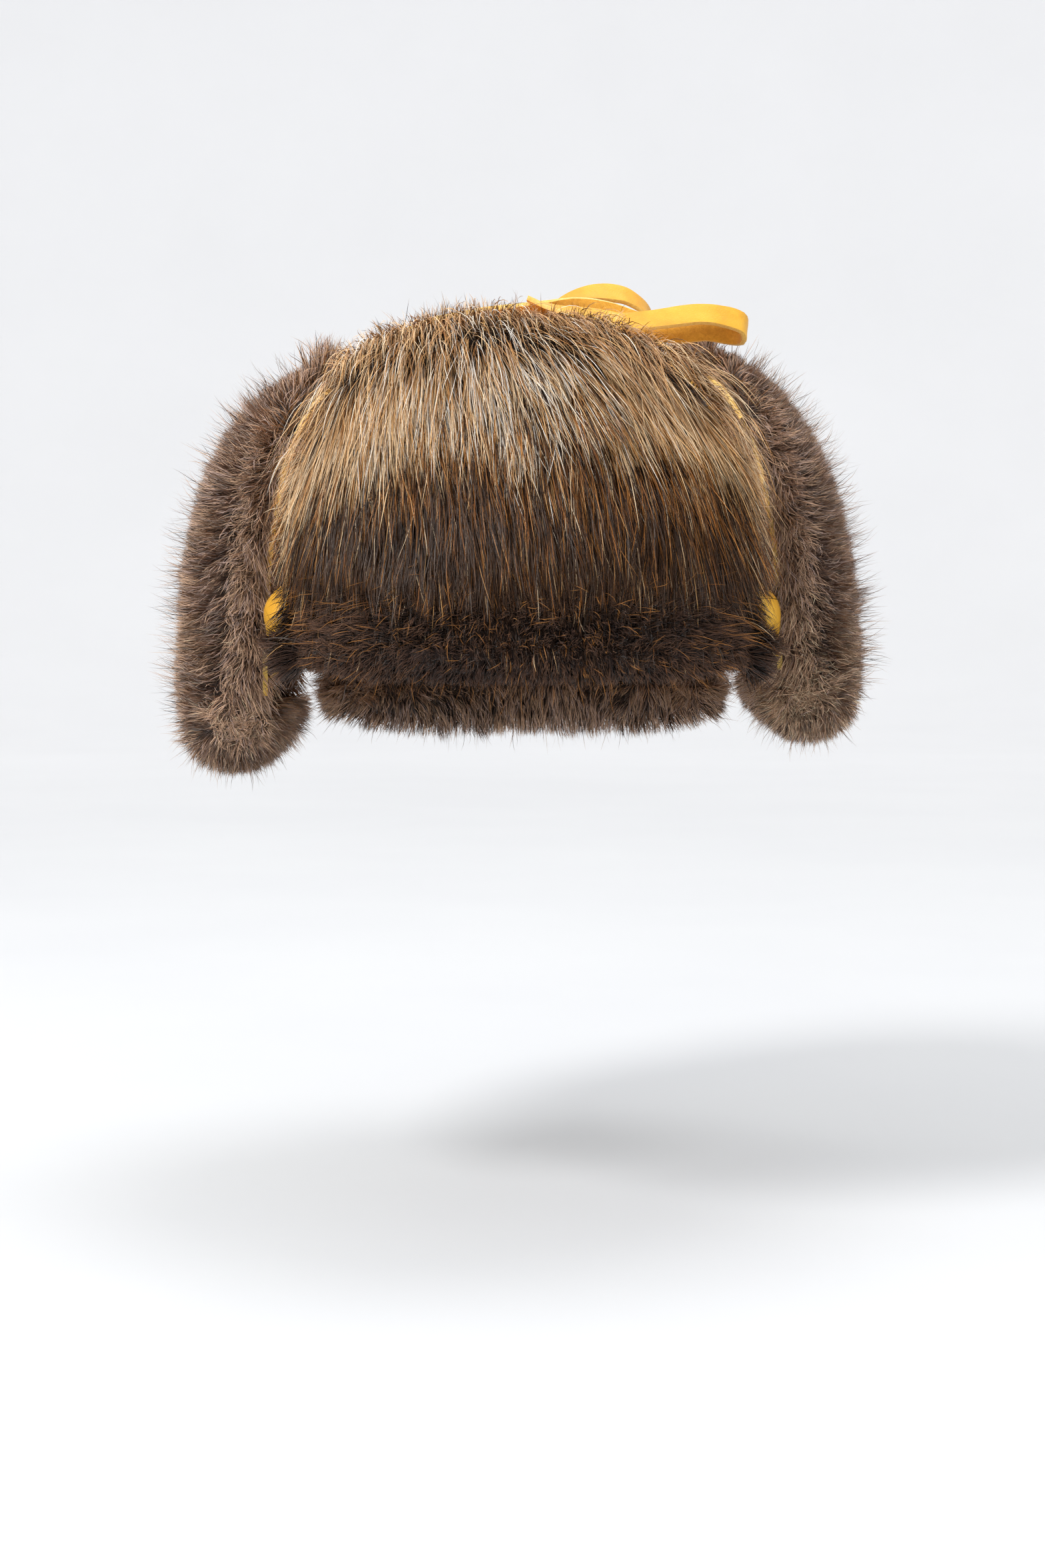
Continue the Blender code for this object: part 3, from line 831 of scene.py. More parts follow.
WOOL_COLUMNS = palette("""
2e1e18 432f25 533b2f
281914 3b2820 493328
33231b 4f382b 614637
241712 35241c 412e24
38261e 5a4032 6f513d
3a2419 85572f c88743
""")


# ---- one flap's fur
def surface_frame(body, outward_way):
    """Normals on the side of outward_way, directions up the flap and along it."""
    normal = grid_normals(body)
    normal = normal * np.sign(np.sum(normal * outward_way, axis=-1).mean() or 1.0)
    up = unit(np.gradient(body, axis=0))
    along = unit(np.gradient(body, axis=1))
    return normal, up, along


def frame_at(grids, row, column):
    return [unit(at_grid(grid, row, column)) for grid in grids]


def pelt_body(name, flap, span, look, share, lumps, seed):
    """The dense body of a pelt over span, (v_low, v_high), and its hair-root grids."""
    rows = max(10, int(46 * (span[1] - span[0])))
    inner, body, full = pelt_grids(flap, *span, rows, 44, share, lumps, seed)
    return sheet_object(name, body, inner, look, degrees=70), inner, body, full


WHOLE_FLAP = (0.0, 1.0)
WHOLE_FOLD = (-1.0, 0.0)
LONG_HAIR_WIDTH = 0.00018
ROOT_DEPTH = 0.0012


def grown(name, roots, start, end, length, long, shade_of, facing, shape, options):
    """Strands drawn into tufts and softly waved. shape is (turn power, most pull, width)."""
    rng = options["rng"]
    count = len(roots)
    power, most_pull, width = shape
    paths = strand_paths(roots, start, end, length, 5, power)
    pull = np.where(long, 0.10, 0.15 + most_pull * rng.random(count))
    paths, leader = clumped(paths, rng, int(count / options["tuft"]), pull)
    paths = waved(paths, rng, 0.0009, 0.9)
    shade = shade_of(leader)
    width = np.where(long, LONG_HAIR_WIDTH, width) * (0.8 + 0.5 * rng.random(count))
    return strand_object(name, paths, facing, width, shade, 0.45, options["hair"], rng)


def plush_shades(mix, roots, options):
    """Palette columns by mix, 0 dark to 1 light, and tan ones where the flap is warm."""
    rng, order = options["rng"], options["order"]
    shade = np.array(order)[(np.clip(mix, 0, 0.999) * len(order)).astype(int)]
    if options.get("warm"):
        warm = options["warm"](roots) > rng.random(len(roots))
        shade = np.where(warm, rng.choice(WARM_COLUMNS, len(roots)), shade)
    return shade


def plush_hair(name, body, full, count, wisps, options):
    """Dense standing fur in soft tufts, from the body's surface to past the whole pelt's.

    options: rng and hair; proud is how far past, wisp how far the longest go, lay and fall
    bend it up the flap and down, fade shortens it upwards, and seed moves its patches.
    """
    rng, seed = options["rng"], options["seed"]
    grids = surface_frame(body, full - body)
    row, column = sample_grid(body, count, rng)
    roots = at_grid(body, row, column)
    n, upward, sideways = frame_at(grids, row, column)
    reach = np.linalg.norm(at_grid(full - body, row, column), axis=-1)
    u = 2 * column / (body.shape[1] - 1) - 1
    rise = row / (body.shape[0] - 1)
    fan = np.sign(u) * smooth_step((np.abs(u) - 0.50) / 0.50)
    over = smooth_step((rise - 0.86) / 0.14) * 0.8
    drift = noise(roots, 0.022, seed)[:, None] * sideways * 0.55
    drift = drift + noise(roots, 0.022, seed + 7)[:, None] * upward * 0.55
    out = unit(n + 1.0 * fan[:, None] * sideways + over[:, None] * upward)
    start = unit(out + 0.12 * rng.normal(size=n.shape))
    fall = np.array([0.0, 0.0, -options.get("fall", 0.0)])
    bend = drift + options["lay"] * upward + fall
    end = unit(out + bend + 0.30 * rng.normal(size=n.shape))
    length = (reach + options["proud"] * (0.55 + 0.75 * rng.random(count))) * 1.04
    length = length * (1 - options.get("fade", 0.0) * smooth_step((rise - 0.35) / 0.65))
    long = rng.random(count) < wisps
    length = np.where(long, length + options["wisp"] * rng.random(count), length)

    def shade_of(leader):
        tone = 0.5 + 0.5 * layered_noise(roots, 0.020, seed + 3, 2) * 0.8
        tuft_tone = hashed(np.stack([leader, leader * 3, leader * 7], axis=-1), 5)
        mix = 0.50 * tone + 0.25 * tuft_tone + 0.25 * rng.random(count)
        shade = plush_shades(mix, roots, options)
        return np.where(long, options["stray"], shade) if "stray" in options else shade

    return grown(
        name, roots - n * ROOT_DEPTH, start, end, length + ROOT_DEPTH, long, shade_of,
        unit(n + 0.35 * out), (1.3, 0.50, 0.00028), options,
    )


PLUSH_ORDER = (7, 3, 1, 0, 10, 5, 9, 2, 4, 5, 2, 6)
WARM_COLUMNS = (6, 8, 8, 10, 11)


def edge_hair(name, inner, body, count, options):
    """Hair round a flap's free edges: it fans from the outside over to the crown's side.

    options: edges are (edge, share) pairs, where an edge is low, high or tip; turn is the
    range of angles it fans over, layers the depth of the leather and felt inside the fur.
    """
    rng = options["rng"]
    grids = surface_frame(body, body - inner)
    rows, cols = body.shape[:2]
    edges, shares = zip(*options["edges"])
    names = np.array(edges)[rng.choice(len(edges), count, p=shares)]
    row = rng.random(count) * (rows - 1)
    column = np.where(names == "low", 0.0, cols - 1.0)
    tip = names == "tip"
    spread = 0.5 + (rng.random(count) - 0.5) * options.get("tip_span", 1.0)
    column = np.where(tip, spread * (cols - 1), column)
    row = np.where(tip, rows - 1.0, row)
    n, upward, sideways = frame_at(grids, row, column)
    out = np.where(tip[:, None], upward, sideways * np.where(names == "low", -1, 1)[:, None])
    corner = smooth_step((row / (rows - 1) - 0.90) / 0.10) * (~tip)
    out = unit(out + 0.8 * corner[:, None] * upward)
    low, high = options["turn"]
    share = rng.random(count)
    skin = at_grid(inner, row, column) - n * options["layers"]
    fur = at_grid(body, row, column)
    turned = np.clip(share + 0.22 * rng.normal(size=count), 0, 1)
    angle = np.radians(low + (high - low) * turned)[:, None]
    setback = np.where(share < 0.35, -0.0004, 0.0028 * rng.random(count))
    roots = skin + (fur - skin) * share[:, None] - out * setback[:, None]
    way = unit(out * np.cos(angle) + n * np.sin(angle))
    lay = options["lay"] * -upward * np.where(rng.random((count, 1)) < 0.75, 1.0, 0.2)
    start = unit(way + 0.15 * rng.normal(size=n.shape))
    drift = noise(roots, 0.016, options["seed"])[:, None] * upward * 0.5
    fall = np.array([0.0, 0.0, -options.get("fall", 0.0)])
    end = unit(way + lay + drift + fall + 0.28 * rng.normal(size=n.shape))
    reach = np.where(tip, options["length"], options.get("side_length", options["length"]))
    length = reach * (0.70 + 0.45 * rng.random(count))
    long = rng.random(count) < 0.06
    length = np.where(long, length + 0.006 * rng.random(count), length)
    length = length * np.where(share < 0.3, options.get("inside", 1.0), 1.0)

    def shade_of(_):
        if "shades" in options:
            u = 2 * column / (cols - 1) - 1
            return options["shades"](row / (rows - 1), u, rng, count, roots)
        tone = 0.5 + 0.4 * layered_noise(roots, 0.020, options["seed"] + 3, 2)
        return plush_shades(0.6 * tone + 0.4 * rng.random(count), roots, options)

    facing = unit(0.6 * n + 0.6 * way + [0, 0, 0.15])
    shape = (1.0, 0.45, 0.00030)
    return grown(name, roots, start, end, length, long, shade_of, facing, shape, options)


# ---- crown, lining and rim
def dome_grid(signs, rises, bearings, inset):
    """Points of one quarter of the dome, its seam edges half a gap off the seam planes."""
    rise, bearing = np.meshgrid(rises, bearings, indexing="ij")
    reach = np.cos(rise) ** CROWN_FULLNESS
    return np.stack(
        [
            signs[0] * ((CROWN_HALF_WIDTH - inset) * reach * np.cos(bearing) + GORE_GAP / 2),
            signs[1] * ((CROWN_HALF_LENGTH - inset) * reach * np.sin(bearing) + GORE_GAP / 2),
            (CROWN_HEIGHT - inset) * np.sin(rise),
        ],
        axis=-1,
    )


LOWEST_RISE = math.asin(CROWN_BOTTOM / CROWN_HEIGHT)
APEX_ANGLE = math.radians(89.85)
ARC_SCALE = 0.097  # a round crown's radius, for the width of a quarter at its seams
GORES = {
    "front_left": (-1, -1),
    "front_right": (1, -1),
    "rear_left": (-1, 1),
    "rear_right": (1, 1),
}


def dome_lines(rows, columns):
    """Angles of rise and bearing of a quarter's rows and columns."""
    rises = LOWEST_RISE + (APEX_ANGLE - LOWEST_RISE) * np.linspace(0, 1, rows)
    return rises, 0.5 * math.pi * np.linspace(0, 1, columns)


def outward(grid, normal):
    """The normals, turned to point away from the crown's middle."""
    middle = np.array([0.0, 0.0, 0.02])
    side = np.sum(normal * (grid - middle), axis=-1).mean()
    return normal if side > 0 else -normal


def make_gore(where, signs, look, inside):
    rows, columns = 64, 56
    rises, bearings = dome_lines(rows, columns)
    base = dome_grid(signs, rises, bearings, 0.0)
    normal = outward(base, grid_normals(base))
    across = np.minimum(bearings, math.pi / 2 - bearings)[None, :]
    reach = np.cos(rises)[:, None] ** CROWN_FULLNESS
    seam = across * reach * ARC_SCALE
    puff = 0.0011 * smooth_step(seam / 0.02) - 0.0013 * (1 - smooth_step(seam / 0.0045))
    pucker = 0.00045 * noise(base, 0.0055, 31) * (1 - smooth_step(seam / 0.014))
    soft = 0.0009 * layered_noise(base, 0.030, 37, 2) * smooth_step(seam / 0.012)
    crease = 0.00035 * (1 - np.abs(noise(base, 0.011, 41))) ** 4 * smooth_step(seam / 0.01)
    edge = smooth_step((rises[:, None] - LOWEST_RISE) / 0.10)
    lift = (puff + pucker + soft - crease) * edge
    outer = base + normal * lift[..., None]
    inner = base + normal * (lift - LEATHER)[..., None]
    piece = sheet_object(f"gore_{where}", outer, inner, look, inside, gold_edge)
    settle(piece, "gold_leather", "crown", f"crown_gore_{where}")
    return outer, normal


def make_lining(where, signs, look):
    """A quilted quarter of the lining: soft diamonds between sewn lines."""
    rows, columns = 72, 64
    rises, bearings = dome_lines(rows, columns)
    inset = LEATHER + LAYER_GAP
    outer = dome_grid(signs, rises, bearings, inset + 0.0008)
    inner = dome_grid(signs, rises, bearings, inset + LINING)
    normal = outward(inner, grid_normals(inner))
    a = np.abs(np.sin(bearings[None, :] * 6 + rises[:, None] * 5))
    b = np.abs(np.sin(bearings[None, :] * 6 - rises[:, None] * 5))
    quilt = 0.0016 * (1 - smooth_step(np.minimum(a, b) / 0.55)) * np.cos(rises)[:, None] ** 0.5
    edge = smooth_step((rises[:, None] - LOWEST_RISE) / 0.4)
    inner = inner + normal * (quilt * edge - 0.0006 * edge)[..., None]
    piece = sheet_object(f"quilt_{where}", outer, inner, look)
    settle(piece, "lining_cloth", "crown", f"lining_{where}")


def rim_ring(outline, steps, wave=0.0, seed=0):
    """Section points (inset from the crown's outside, height) at each bearing."""
    sections = []
    for i in range(steps):
        bearing = 2 * math.pi * i / steps
        across = np.array([math.cos(bearing), math.sin(bearing)])
        spot = np.array([[across[0] * 0.09, across[1] * 0.1, 0.0]])
        shift = wave * float(noise(spot, 0.008, seed)[0])
        section = []
        for inset, height in outline:
            rise = math.asin(max(height, 0.0) / CROWN_HEIGHT)
            reach = math.cos(rise) ** CROWN_FULLNESS
            section.append(
                (
                    (CROWN_HALF_WIDTH * reach - inset - shift) * across[0],
                    (CROWN_HALF_LENGTH * reach - inset - shift) * across[1],
                    height,
                )
            )
        sections.append(section)
    return np.array(sections)


def rounded_path(corners, radius, steps):
    """The closed outline with its corners rounded off."""
    made = []
    corners = [np.asarray(c, float) for c in corners]
    around = zip(corners[-1:] + corners[:-1], corners, corners[1:] + corners[:1])
    for before, corner, after in around:
        a, b = before - corner, after - corner
        cut = min(radius, 0.45 * np.linalg.norm(a), 0.45 * np.linalg.norm(b))
        first = corner + a / np.linalg.norm(a) * cut
        last = corner + b / np.linalg.norm(b) * cut
        for k in range(steps + 1):
            t = k / steps
            made.append(tuple((1 - t) ** 2 * first + 2 * t * (1 - t) * corner + t**2 * last))
    return made


BAND_OUTSIDE = LEATHER + LINING + 3 * LAYER_GAP
BAND_INSIDE = BAND_OUTSIDE + SWEATBAND


def make_sweatband(look):
    low, high = CROWN_BOTTOM, CROWN_BOTTOM + SWEATBAND_HEIGHT
    heights = np.linspace(low, high, 9)
    outline = [(BAND_OUTSIDE, low), *[(BAND_INSIDE, z) for z in heights]]
    outline += [(BAND_OUTSIDE, z) for z in heights[::-1][:-1]]
    sections = rim_ring(outline, 240)
    swell = 0.00035 * noise(sections, 0.016, 51)[..., None]
    flat = sections * [1, 1, 0]
    sections = sections - unit(flat) * swell * (sections[..., 2:] > low + 0.004)
    piece = ring_object("sweatband_leather_band", sections, look)
    settle(piece, "sweatband_leather", "crown", "sweatband")


def make_binding(look):
    leg_out = -(LAYER_GAP + GORE_GAP)
    leg_in = BAND_INSIDE + LAYER_GAP
    corners = [
        (leg_out - BINDING, 0.0),
        (leg_in + BINDING, 0.0),
        (leg_in + BINDING, BINDING_LEG),
        (leg_in, BINDING_LEG),
        (leg_in, BINDING),
        (leg_out, BINDING),
        (leg_out, BINDING_LEG),
        (leg_out - BINDING, BINDING_LEG),
    ]
    outline = rounded_path(corners, 0.0011, 3)
    sections = rim_ring(outline, 256, 0.00012, 61)
    piece = ring_object("binding_strip", sections, look, degrees=60)
    settle(piece, "gold_leather", "crown", "rim_binding")


# ---- stitching
STITCH_LENGTH = 0.0030
STITCH_GAP = 0.0014
THREAD_THICKNESS = 0.00045


def stitch_object(name, runs, slot, body):
    """Thread stitches along runs of (points, normals), each sunk slightly at its ends."""
    length, thick = STITCH_LENGTH, THREAD_THICKNESS
    points, faces = [], []
    size, rows = 6, 5
    for places, normals in runs:
        gone = np.concatenate([[0], np.cumsum(np.linalg.norm(np.diff(places, axis=0), axis=1))])
        start = 0.001
        while start + length < gone[-1] - 0.0005:
            t = np.linspace(0, 1, rows)
            at, up = [
                np.stack([np.interp(start + t * length, gone, each[:, k]) for k in range(3)], 1)
                for each in (places, normals)
            ]
            up = unit(up)
            way = unit(np.gradient(at, axis=0))
            side = unit(np.cross(way, up))
            arch = np.sin(math.pi * t)
            first = len(points)
            for k in range(rows):
                centre = at[k] + up[k] * thick * (0.75 * arch[k] - 0.45)
                for j in range(size):
                    turn = 2 * math.pi * j / size
                    points.append(
                        centre
                        + thick * 0.5 * (side[k] * math.cos(turn) + up[k] * math.sin(turn))
                    )
            faces += tube_faces(rows, size, first)
            start += length + STITCH_GAP
    settle(mesh_object(name, points, faces, (thread,)), slot, body)


def grid_run(grid, normal, rows, columns):
    """A run of stitches along given fractional rows and columns of a grid."""
    return at_grid(grid, rows, columns), unit(at_grid(normal, rows, columns))


# ---- building it
thread = cloth_look("gold_thread", "e9c268", "b98a35", 5200.0, (0.5, 0.7), 0.2)
band_leather = leather_look("band_leather", "6b4530", "53331f", "3d2415", (0.38, 0.55), 700.0)
lining_satin = cloth_look("lining_satin", "4a3a32", "2c221d", 2600.0, (0.32, 0.45), 0.5)
felt_wool = fur_body_look("felt_wool", "6a5645", "574637", "43352a", 1500.0)

gore_grids = {w: make_gore(w, s, gold, gold_suede) for w, s in GORES.items()}
for where, signs in GORES.items():
    make_lining(where, signs, lining_satin)
make_sweatband(band_leather)
make_binding(gold)


def make_crown_stitches():
    runs = []
    for outer, normal in gore_grids.values():
        rows = np.linspace(0.6, outer.shape[0] - 2.5, 300)
        rises = rows / (outer.shape[0] - 1) * APEX_ANGLE
        reach = np.cos(rises) ** CROWN_FULLNESS
        step = 0.0032 / np.maximum(reach, 0.08) / ARC_SCALE / (math.pi / 2) * (outer.shape[1] - 1)
        keep = step < 0.42 * (outer.shape[1] - 1)
        for columns in (step, outer.shape[1] - 1 - step):
            runs.append(grid_run(outer, normal, rows[keep], columns[keep]))
    stitch_object("crown_stitching", runs, "gold_leather", "crown")


def ring_run(inset, height, way):
    """A run of stitches round the rim, its normals outward for way 1 and inward for -1."""
    ring = rim_ring([(inset, height)], 256)[:, 0]
    ring = np.concatenate([ring, ring[:1]])
    return ring, way * unit(ring * [1, 1, 0])


RIM_STITCH_HEIGHT = 0.0052


def make_rim_stitches():
    runs = [
        ring_run(-(LAYER_GAP + GORE_GAP) - BINDING, RIM_STITCH_HEIGHT, 1),
        ring_run(BAND_INSIDE + LAYER_GAP + BINDING, RIM_STITCH_HEIGHT, -1),
    ]
    stitch_object("rim_stitching", runs, "gold_leather", "crown")


make_crown_stitches()
make_rim_stitches()

guard_body = fur_body_look("guard_pelt_body", "3a2618", "281a12", "1a110c")
plush_body = fur_body_look("plush_pelt_body", "4c3b30", "3a2c24", "2a1f19")
wool_body = fur_body_look("wool_pelt_body", "3a2820", "2b1d17", "1c120e")
guard_hair = hair_look("guard_hair", GUARD_COLUMNS, 0.33, 0.20, 0.0)
plush_strands = hair_look("plush_hair", PLUSH_COLUMNS, 0.55, 0.15, 0.1)
wool_hair = hair_look("wool_hair", WOOL_COLUMNS, 0.6, 0.15, 0.1)

PLUSH_HAIRS = 30000
EDGE_HAIRS = 14000
FOLD_HAIRS = 10000
FOLD_END_HAIRS = 5000
GUARD_HAIRS = 30000
GUARD_EDGE_HAIRS = 9000
LOW_WOOL_HAIRS = 9000
FOLD_WOOL_HAIRS = 13000
SEEDS = {"front_flap": 100, "left_flap": 200, "right_flap": 300, "neck_flap": 400}
HAIR_SHARE = 0.62
INNER_LAYERS = LEATHER + INTERLINING + 2 * FLAP_LAYER_GAP
FOLD_EDGES = {"edges": [("low", 0.5), ("high", 0.5)], "turn": (-60, 60), "layers": 0.0}


def blend_fold(name, slot, *pieces):
    """Applies the placement of each of the fold's pieces to its mesh; nothing bends them."""
    for piece in pieces:
        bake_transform(piece)


def make_plush_flap(name, proud, warm=None):
    """An ear or neck flap's pelt, and the fur of its fold. warm is from warm_patch."""
    flap = FLAPS[name]
    seed = SEEDS[name]
    options = {
        "rng": np.random.default_rng(seed), "hair": plush_strands, "order": PLUSH_ORDER,
        "proud": proud, "wisp": 0.012, "tuft": 46, "seed": seed + 11, "lay": 0.12, "warm": warm,
    }
    piece, inner, body, full = pelt_body(
        f"{name}_fur_body", flap, WHOLE_FLAP, plush_body, HAIR_SHARE, 0.013, seed + 1
    )
    settle(piece, "underfur_pelt", name, f"{name}_pelt")
    hair = plush_hair(f"{name}_fur", body, full, PLUSH_HAIRS, 0.07, options)
    settle(hair, "underfur_pelt", name)
    options |= {
        "edges": [("low", 0.42), ("high", 0.42), ("tip", 0.16)], "turn": (-80, 85),
        "layers": INNER_LAYERS, "length": 0.0155, "lay": 0.1, "fall": 0.25,
    }
    rim = edge_hair(f"{name}_edge_fur", inner, body, EDGE_HAIRS, options)
    settle(rim, "underfur_pelt", name)
    fold, inner, body, full = pelt_body(
        f"{name}_fold_body", flap, WHOLE_FOLD, plush_body, HAIR_SHARE, 0.013, seed + 2
    )
    options |= {"lay": 0.0, "proud": proud + 0.0014, "wisp": 0.007, "fall": 0.5}
    hair = plush_hair(f"{name}_fold_fur", body, full, FOLD_HAIRS, 0.05, options)
    options |= {**FOLD_EDGES, "length": 0.0120}
    ends = edge_hair(f"{name}_fold_end_fur", inner, body, FOLD_END_HAIRS, options)
    blend_fold(name, "underfur_pelt", fold, hair, ends)


def warm_patch(top, most):
    """How much of a flap's fur is tan at given roots: most at its front edge, low down."""

    def share(roots):
        near = smooth_step((-0.020 - roots[:, 1]) / 0.030)
        return most * near * smooth_step((top - roots[:, 2]) / 0.040)

    return share


make_plush_flap("left_flap", 0.0034, warm_patch(0.020, 0.22))
make_plush_flap("right_flap", 0.0028, warm_patch(0.030, 0.75))
make_plush_flap("neck_flap", 0.0034)


# ---- front flap
def guard_shades(rise, u, rng, count, roots):
    """Palette columns of the guard hairs by height up the flap: brown at the crest, golden
    with a painted highlight above the middle, where pale strands stand in for light glancing
    off the hair, and nearly black with rust tips below."""
    patch = noise(roots, 0.018, 71) * 0.07 + noise(roots, 0.006, 73) * 0.05
    h = rise + patch + rng.normal(size=count) * 0.055
    golden = (0, 1, 2, 3, 4, 1, 2, 13, 2, 4)
    # near-white columns for the painted highlight
    painted_glint = (6, 7, 7, 4, 6, 7)
    brown = (5, 3, 5, 1, 5, 3, 0, 13)
    dark = (8, 9, 12, 9, 12)
    rust = (10, 11, 10, 13, 11)
    shade = rng.choice(golden, count)
    crest_brown = smooth_step((h - 0.86 + 0.04 * np.abs(u - 0.05)) / 0.09)
    crest_brown = crest_brown * np.clip(1.1 - 1.1 * np.abs(u - 0.10) ** 1.5, 0.15, 0.85)
    shade = np.where(rng.random(count) < crest_brown, rng.choice(brown, count), shade)
    # painted highlight: the sheen mask turns strands pale where light would glance off the hair
    sheen = np.exp(-(((h - 0.83) / 0.10) ** 2)) * np.exp(-(((u + 0.22) / 0.55) ** 2)) * 0.55
    sheen = sheen + 0.34 * np.exp(-(((h - 0.74) / 0.10) ** 2)) * np.exp(-(((u - 0.1) / 0.3) ** 2))
    shade = np.where(rng.random(count) < sheen, rng.choice(painted_glint, count), shade)
    low = smooth_step((0.84 - h + 0.06 * u) / 0.24)
    swap = rng.random(count) < low * 0.97
    rusty = 0.42 - 0.37 * smooth_step((0.66 - h) / 0.22)
    under = np.where(rng.random(count) < rusty, rng.choice(rust, count), rng.choice(dark, count))
    return np.where(swap, under, shade)


GUARD_LOWEST = 0.017


def make_front_flap():
    """The front flap's pelt: guard hair combed down, lifted at the brow and the crest."""
    name = "front_flap"
    flap = FLAPS[name]
    rng = np.random.default_rng(SEEDS[name])
    piece, inner, body, full = pelt_body(
        "front_flap_fur_body", flap, WHOLE_FLAP, guard_body, 0.60, 0.010, 5
    )
    settle(piece, "guard_hair_pelt", name, "front_flap_pelt")
    fold = pelt_body("front_flap_fold_body", flap, WHOLE_FOLD, wool_body, HAIR_SHARE, 0.010, 6)
    grids = surface_frame(body, body - inner)
    count = GUARD_HAIRS
    weight = np.ones(body.shape[:2])
    weight[: int(0.16 * len(weight))] = 0.25
    row, column = sample_grid(body, count, rng, weight)
    roots = at_grid(body, row, column)
    n, upward, sideways = frame_at(grids, row, column)
    u = 2 * column / (body.shape[1] - 1) - 1
    rise = row / (body.shape[0] - 1)
    forward = unit(n * [0.35, 1.0, 1.0])
    brow = smooth_step((rise - 0.86) / 0.14)
    flare = 0.34 * np.sign(u) * smooth_step((np.abs(u) - 0.74) / 0.26) * (1 - brow)
    splay = -0.16 * u + 0.20 * noise(roots, 0.018, 81) + 0.06 + flare
    down = unit(-upward + splay[:, None] * sideways)
    lean = down * (1 - 1.15 * brow)[:, None] + (0.68 + 0.35 * brow)[:, None] * forward
    lean = lean + (0.35 * brow)[:, None] * upward
    start = unit(lean + 0.10 * rng.normal(size=n.shape))
    end = unit(down + 0.05 * n + 0.15 * rng.normal(size=n.shape))
    length = 0.026 + 0.014 * rng.random(count) - 0.006 * brow
    room = np.maximum(roots[:, 2] - GUARD_LOWEST + 0.013 * rng.random(count) ** 3, 0.010)
    length = np.minimum(length, room)
    crest = rng.random(count) < smooth_step((rise - 0.88) / 0.12) * 0.16
    crest = crest & (np.abs(u) < 0.7)
    lifted = unit(0.9 * upward + 0.35 * n + 0.35 * splay[:, None] * sideways)
    start = np.where(crest[:, None], unit(lifted + 0.2 * rng.normal(size=n.shape)), start)
    curl = unit(0.8 * upward + 0.55 * n + 0.25 * rng.normal(size=n.shape))
    end = np.where(crest[:, None], curl, end)
    length = np.where(crest, 0.007 + 0.008 * rng.random(count), length)
    paths = strand_paths(roots - n * 0.0010, start, end, length, 7, 0.6)
    pull = np.where(crest, 0.10, 0.05 + 0.45 * rng.random(count))
    paths = clumped(paths, rng, count // 9, pull, 1.3)[0]
    paths = waved(paths, rng, 0.0011, 0.6)
    shade = guard_shades(rise, u, rng, count, roots)
    width = 0.00024 * (0.7 + 0.7 * rng.random(count))
    facing = unit(n + [0, 0, 0.2])
    hair = strand_object("front_guard_hair", paths, facing, width, shade, 0.35, guard_hair, rng)
    settle(hair, "guard_hair_pelt", name)
    options = {
        "rng": rng, "hair": guard_hair, "shades": guard_shades, "seed": 151, "tuft": 10,
        "edges": [("low", 0.33), ("high", 0.33), ("tip", 0.34)], "turn": (-30, 70),
        "layers": INNER_LAYERS, "length": 0.0125, "side_length": 0.0135, "inside": 0.8,
        "lay": 1.0, "tip_span": 0.9,
    }
    rim = edge_hair("front_edge_hair", inner, body, GUARD_EDGE_HAIRS, options)
    settle(rim, "guard_hair_pelt", name)
    make_front_wool(name, body, full, fold, rng)


def make_front_wool(name, body, full, fold, rng):
    """Woolly underfur low on the front, round the fold, with a few long stray hairs."""
    options = {
        "rng": rng, "hair": wool_hair, "order": (3, 1, 0, 2, 4, 0, 5), "stray": 5, "seed": 131,
        "proud": 0.0030, "wisp": 0.012, "tuft": 30, "lay": -0.25, "fade": 0.8,
    }
    low = int(body.shape[0] * 0.30)
    wool = plush_hair("front_low_wool", body[:low], full[:low], LOW_WOOL_HAIRS, 0.06, options)
    settle(wool, "guard_hair_pelt", name)
    piece, inner, body, full = fold
    options |= {"fade": 0.0, "seed": 141, "lay": 0.0}
    wool = plush_hair("front_fold_wool", body, full, FOLD_WOOL_HAIRS, 0.03, options)
    options |= {**FOLD_EDGES, "length": 0.014}
    ends = edge_hair("front_fold_end_wool", inner, body, FOLD_END_HAIRS, options)
    blend_fold(name, "guard_hair_pelt", piece, wool, ends)


make_front_flap()


# ---- leather and felt
def leather_sheet(name, smooth, rough):
    """A leather sheet from the grids of its smooth side and its suede side."""
    return sheet_object(name, smooth, rough, gold, gold_suede, gold_edge)


def layer_sheet(flap, low, high, rows, columns, first, last_u=1.0):
    """(outer, inner) grids of one of a flap's layers, at set distances from its inner face."""
    w, u = np.meshgrid(
        np.linspace(first, 1, rows), np.linspace(-last_u, last_u, columns), indexing="ij"
    )
    t = w * crest_share(flap, np.clip(u, -1, 1))
    along = along_place(flap, t, u)
    outer = flap_point(flap, inner_offset(flap, t, along, high), along)
    inner = flap_point(flap, inner_offset(flap, t, along, low), along)
    return outer, inner


FIRST_ROW = 1 / 12
EDGE_STRIP = 0.125


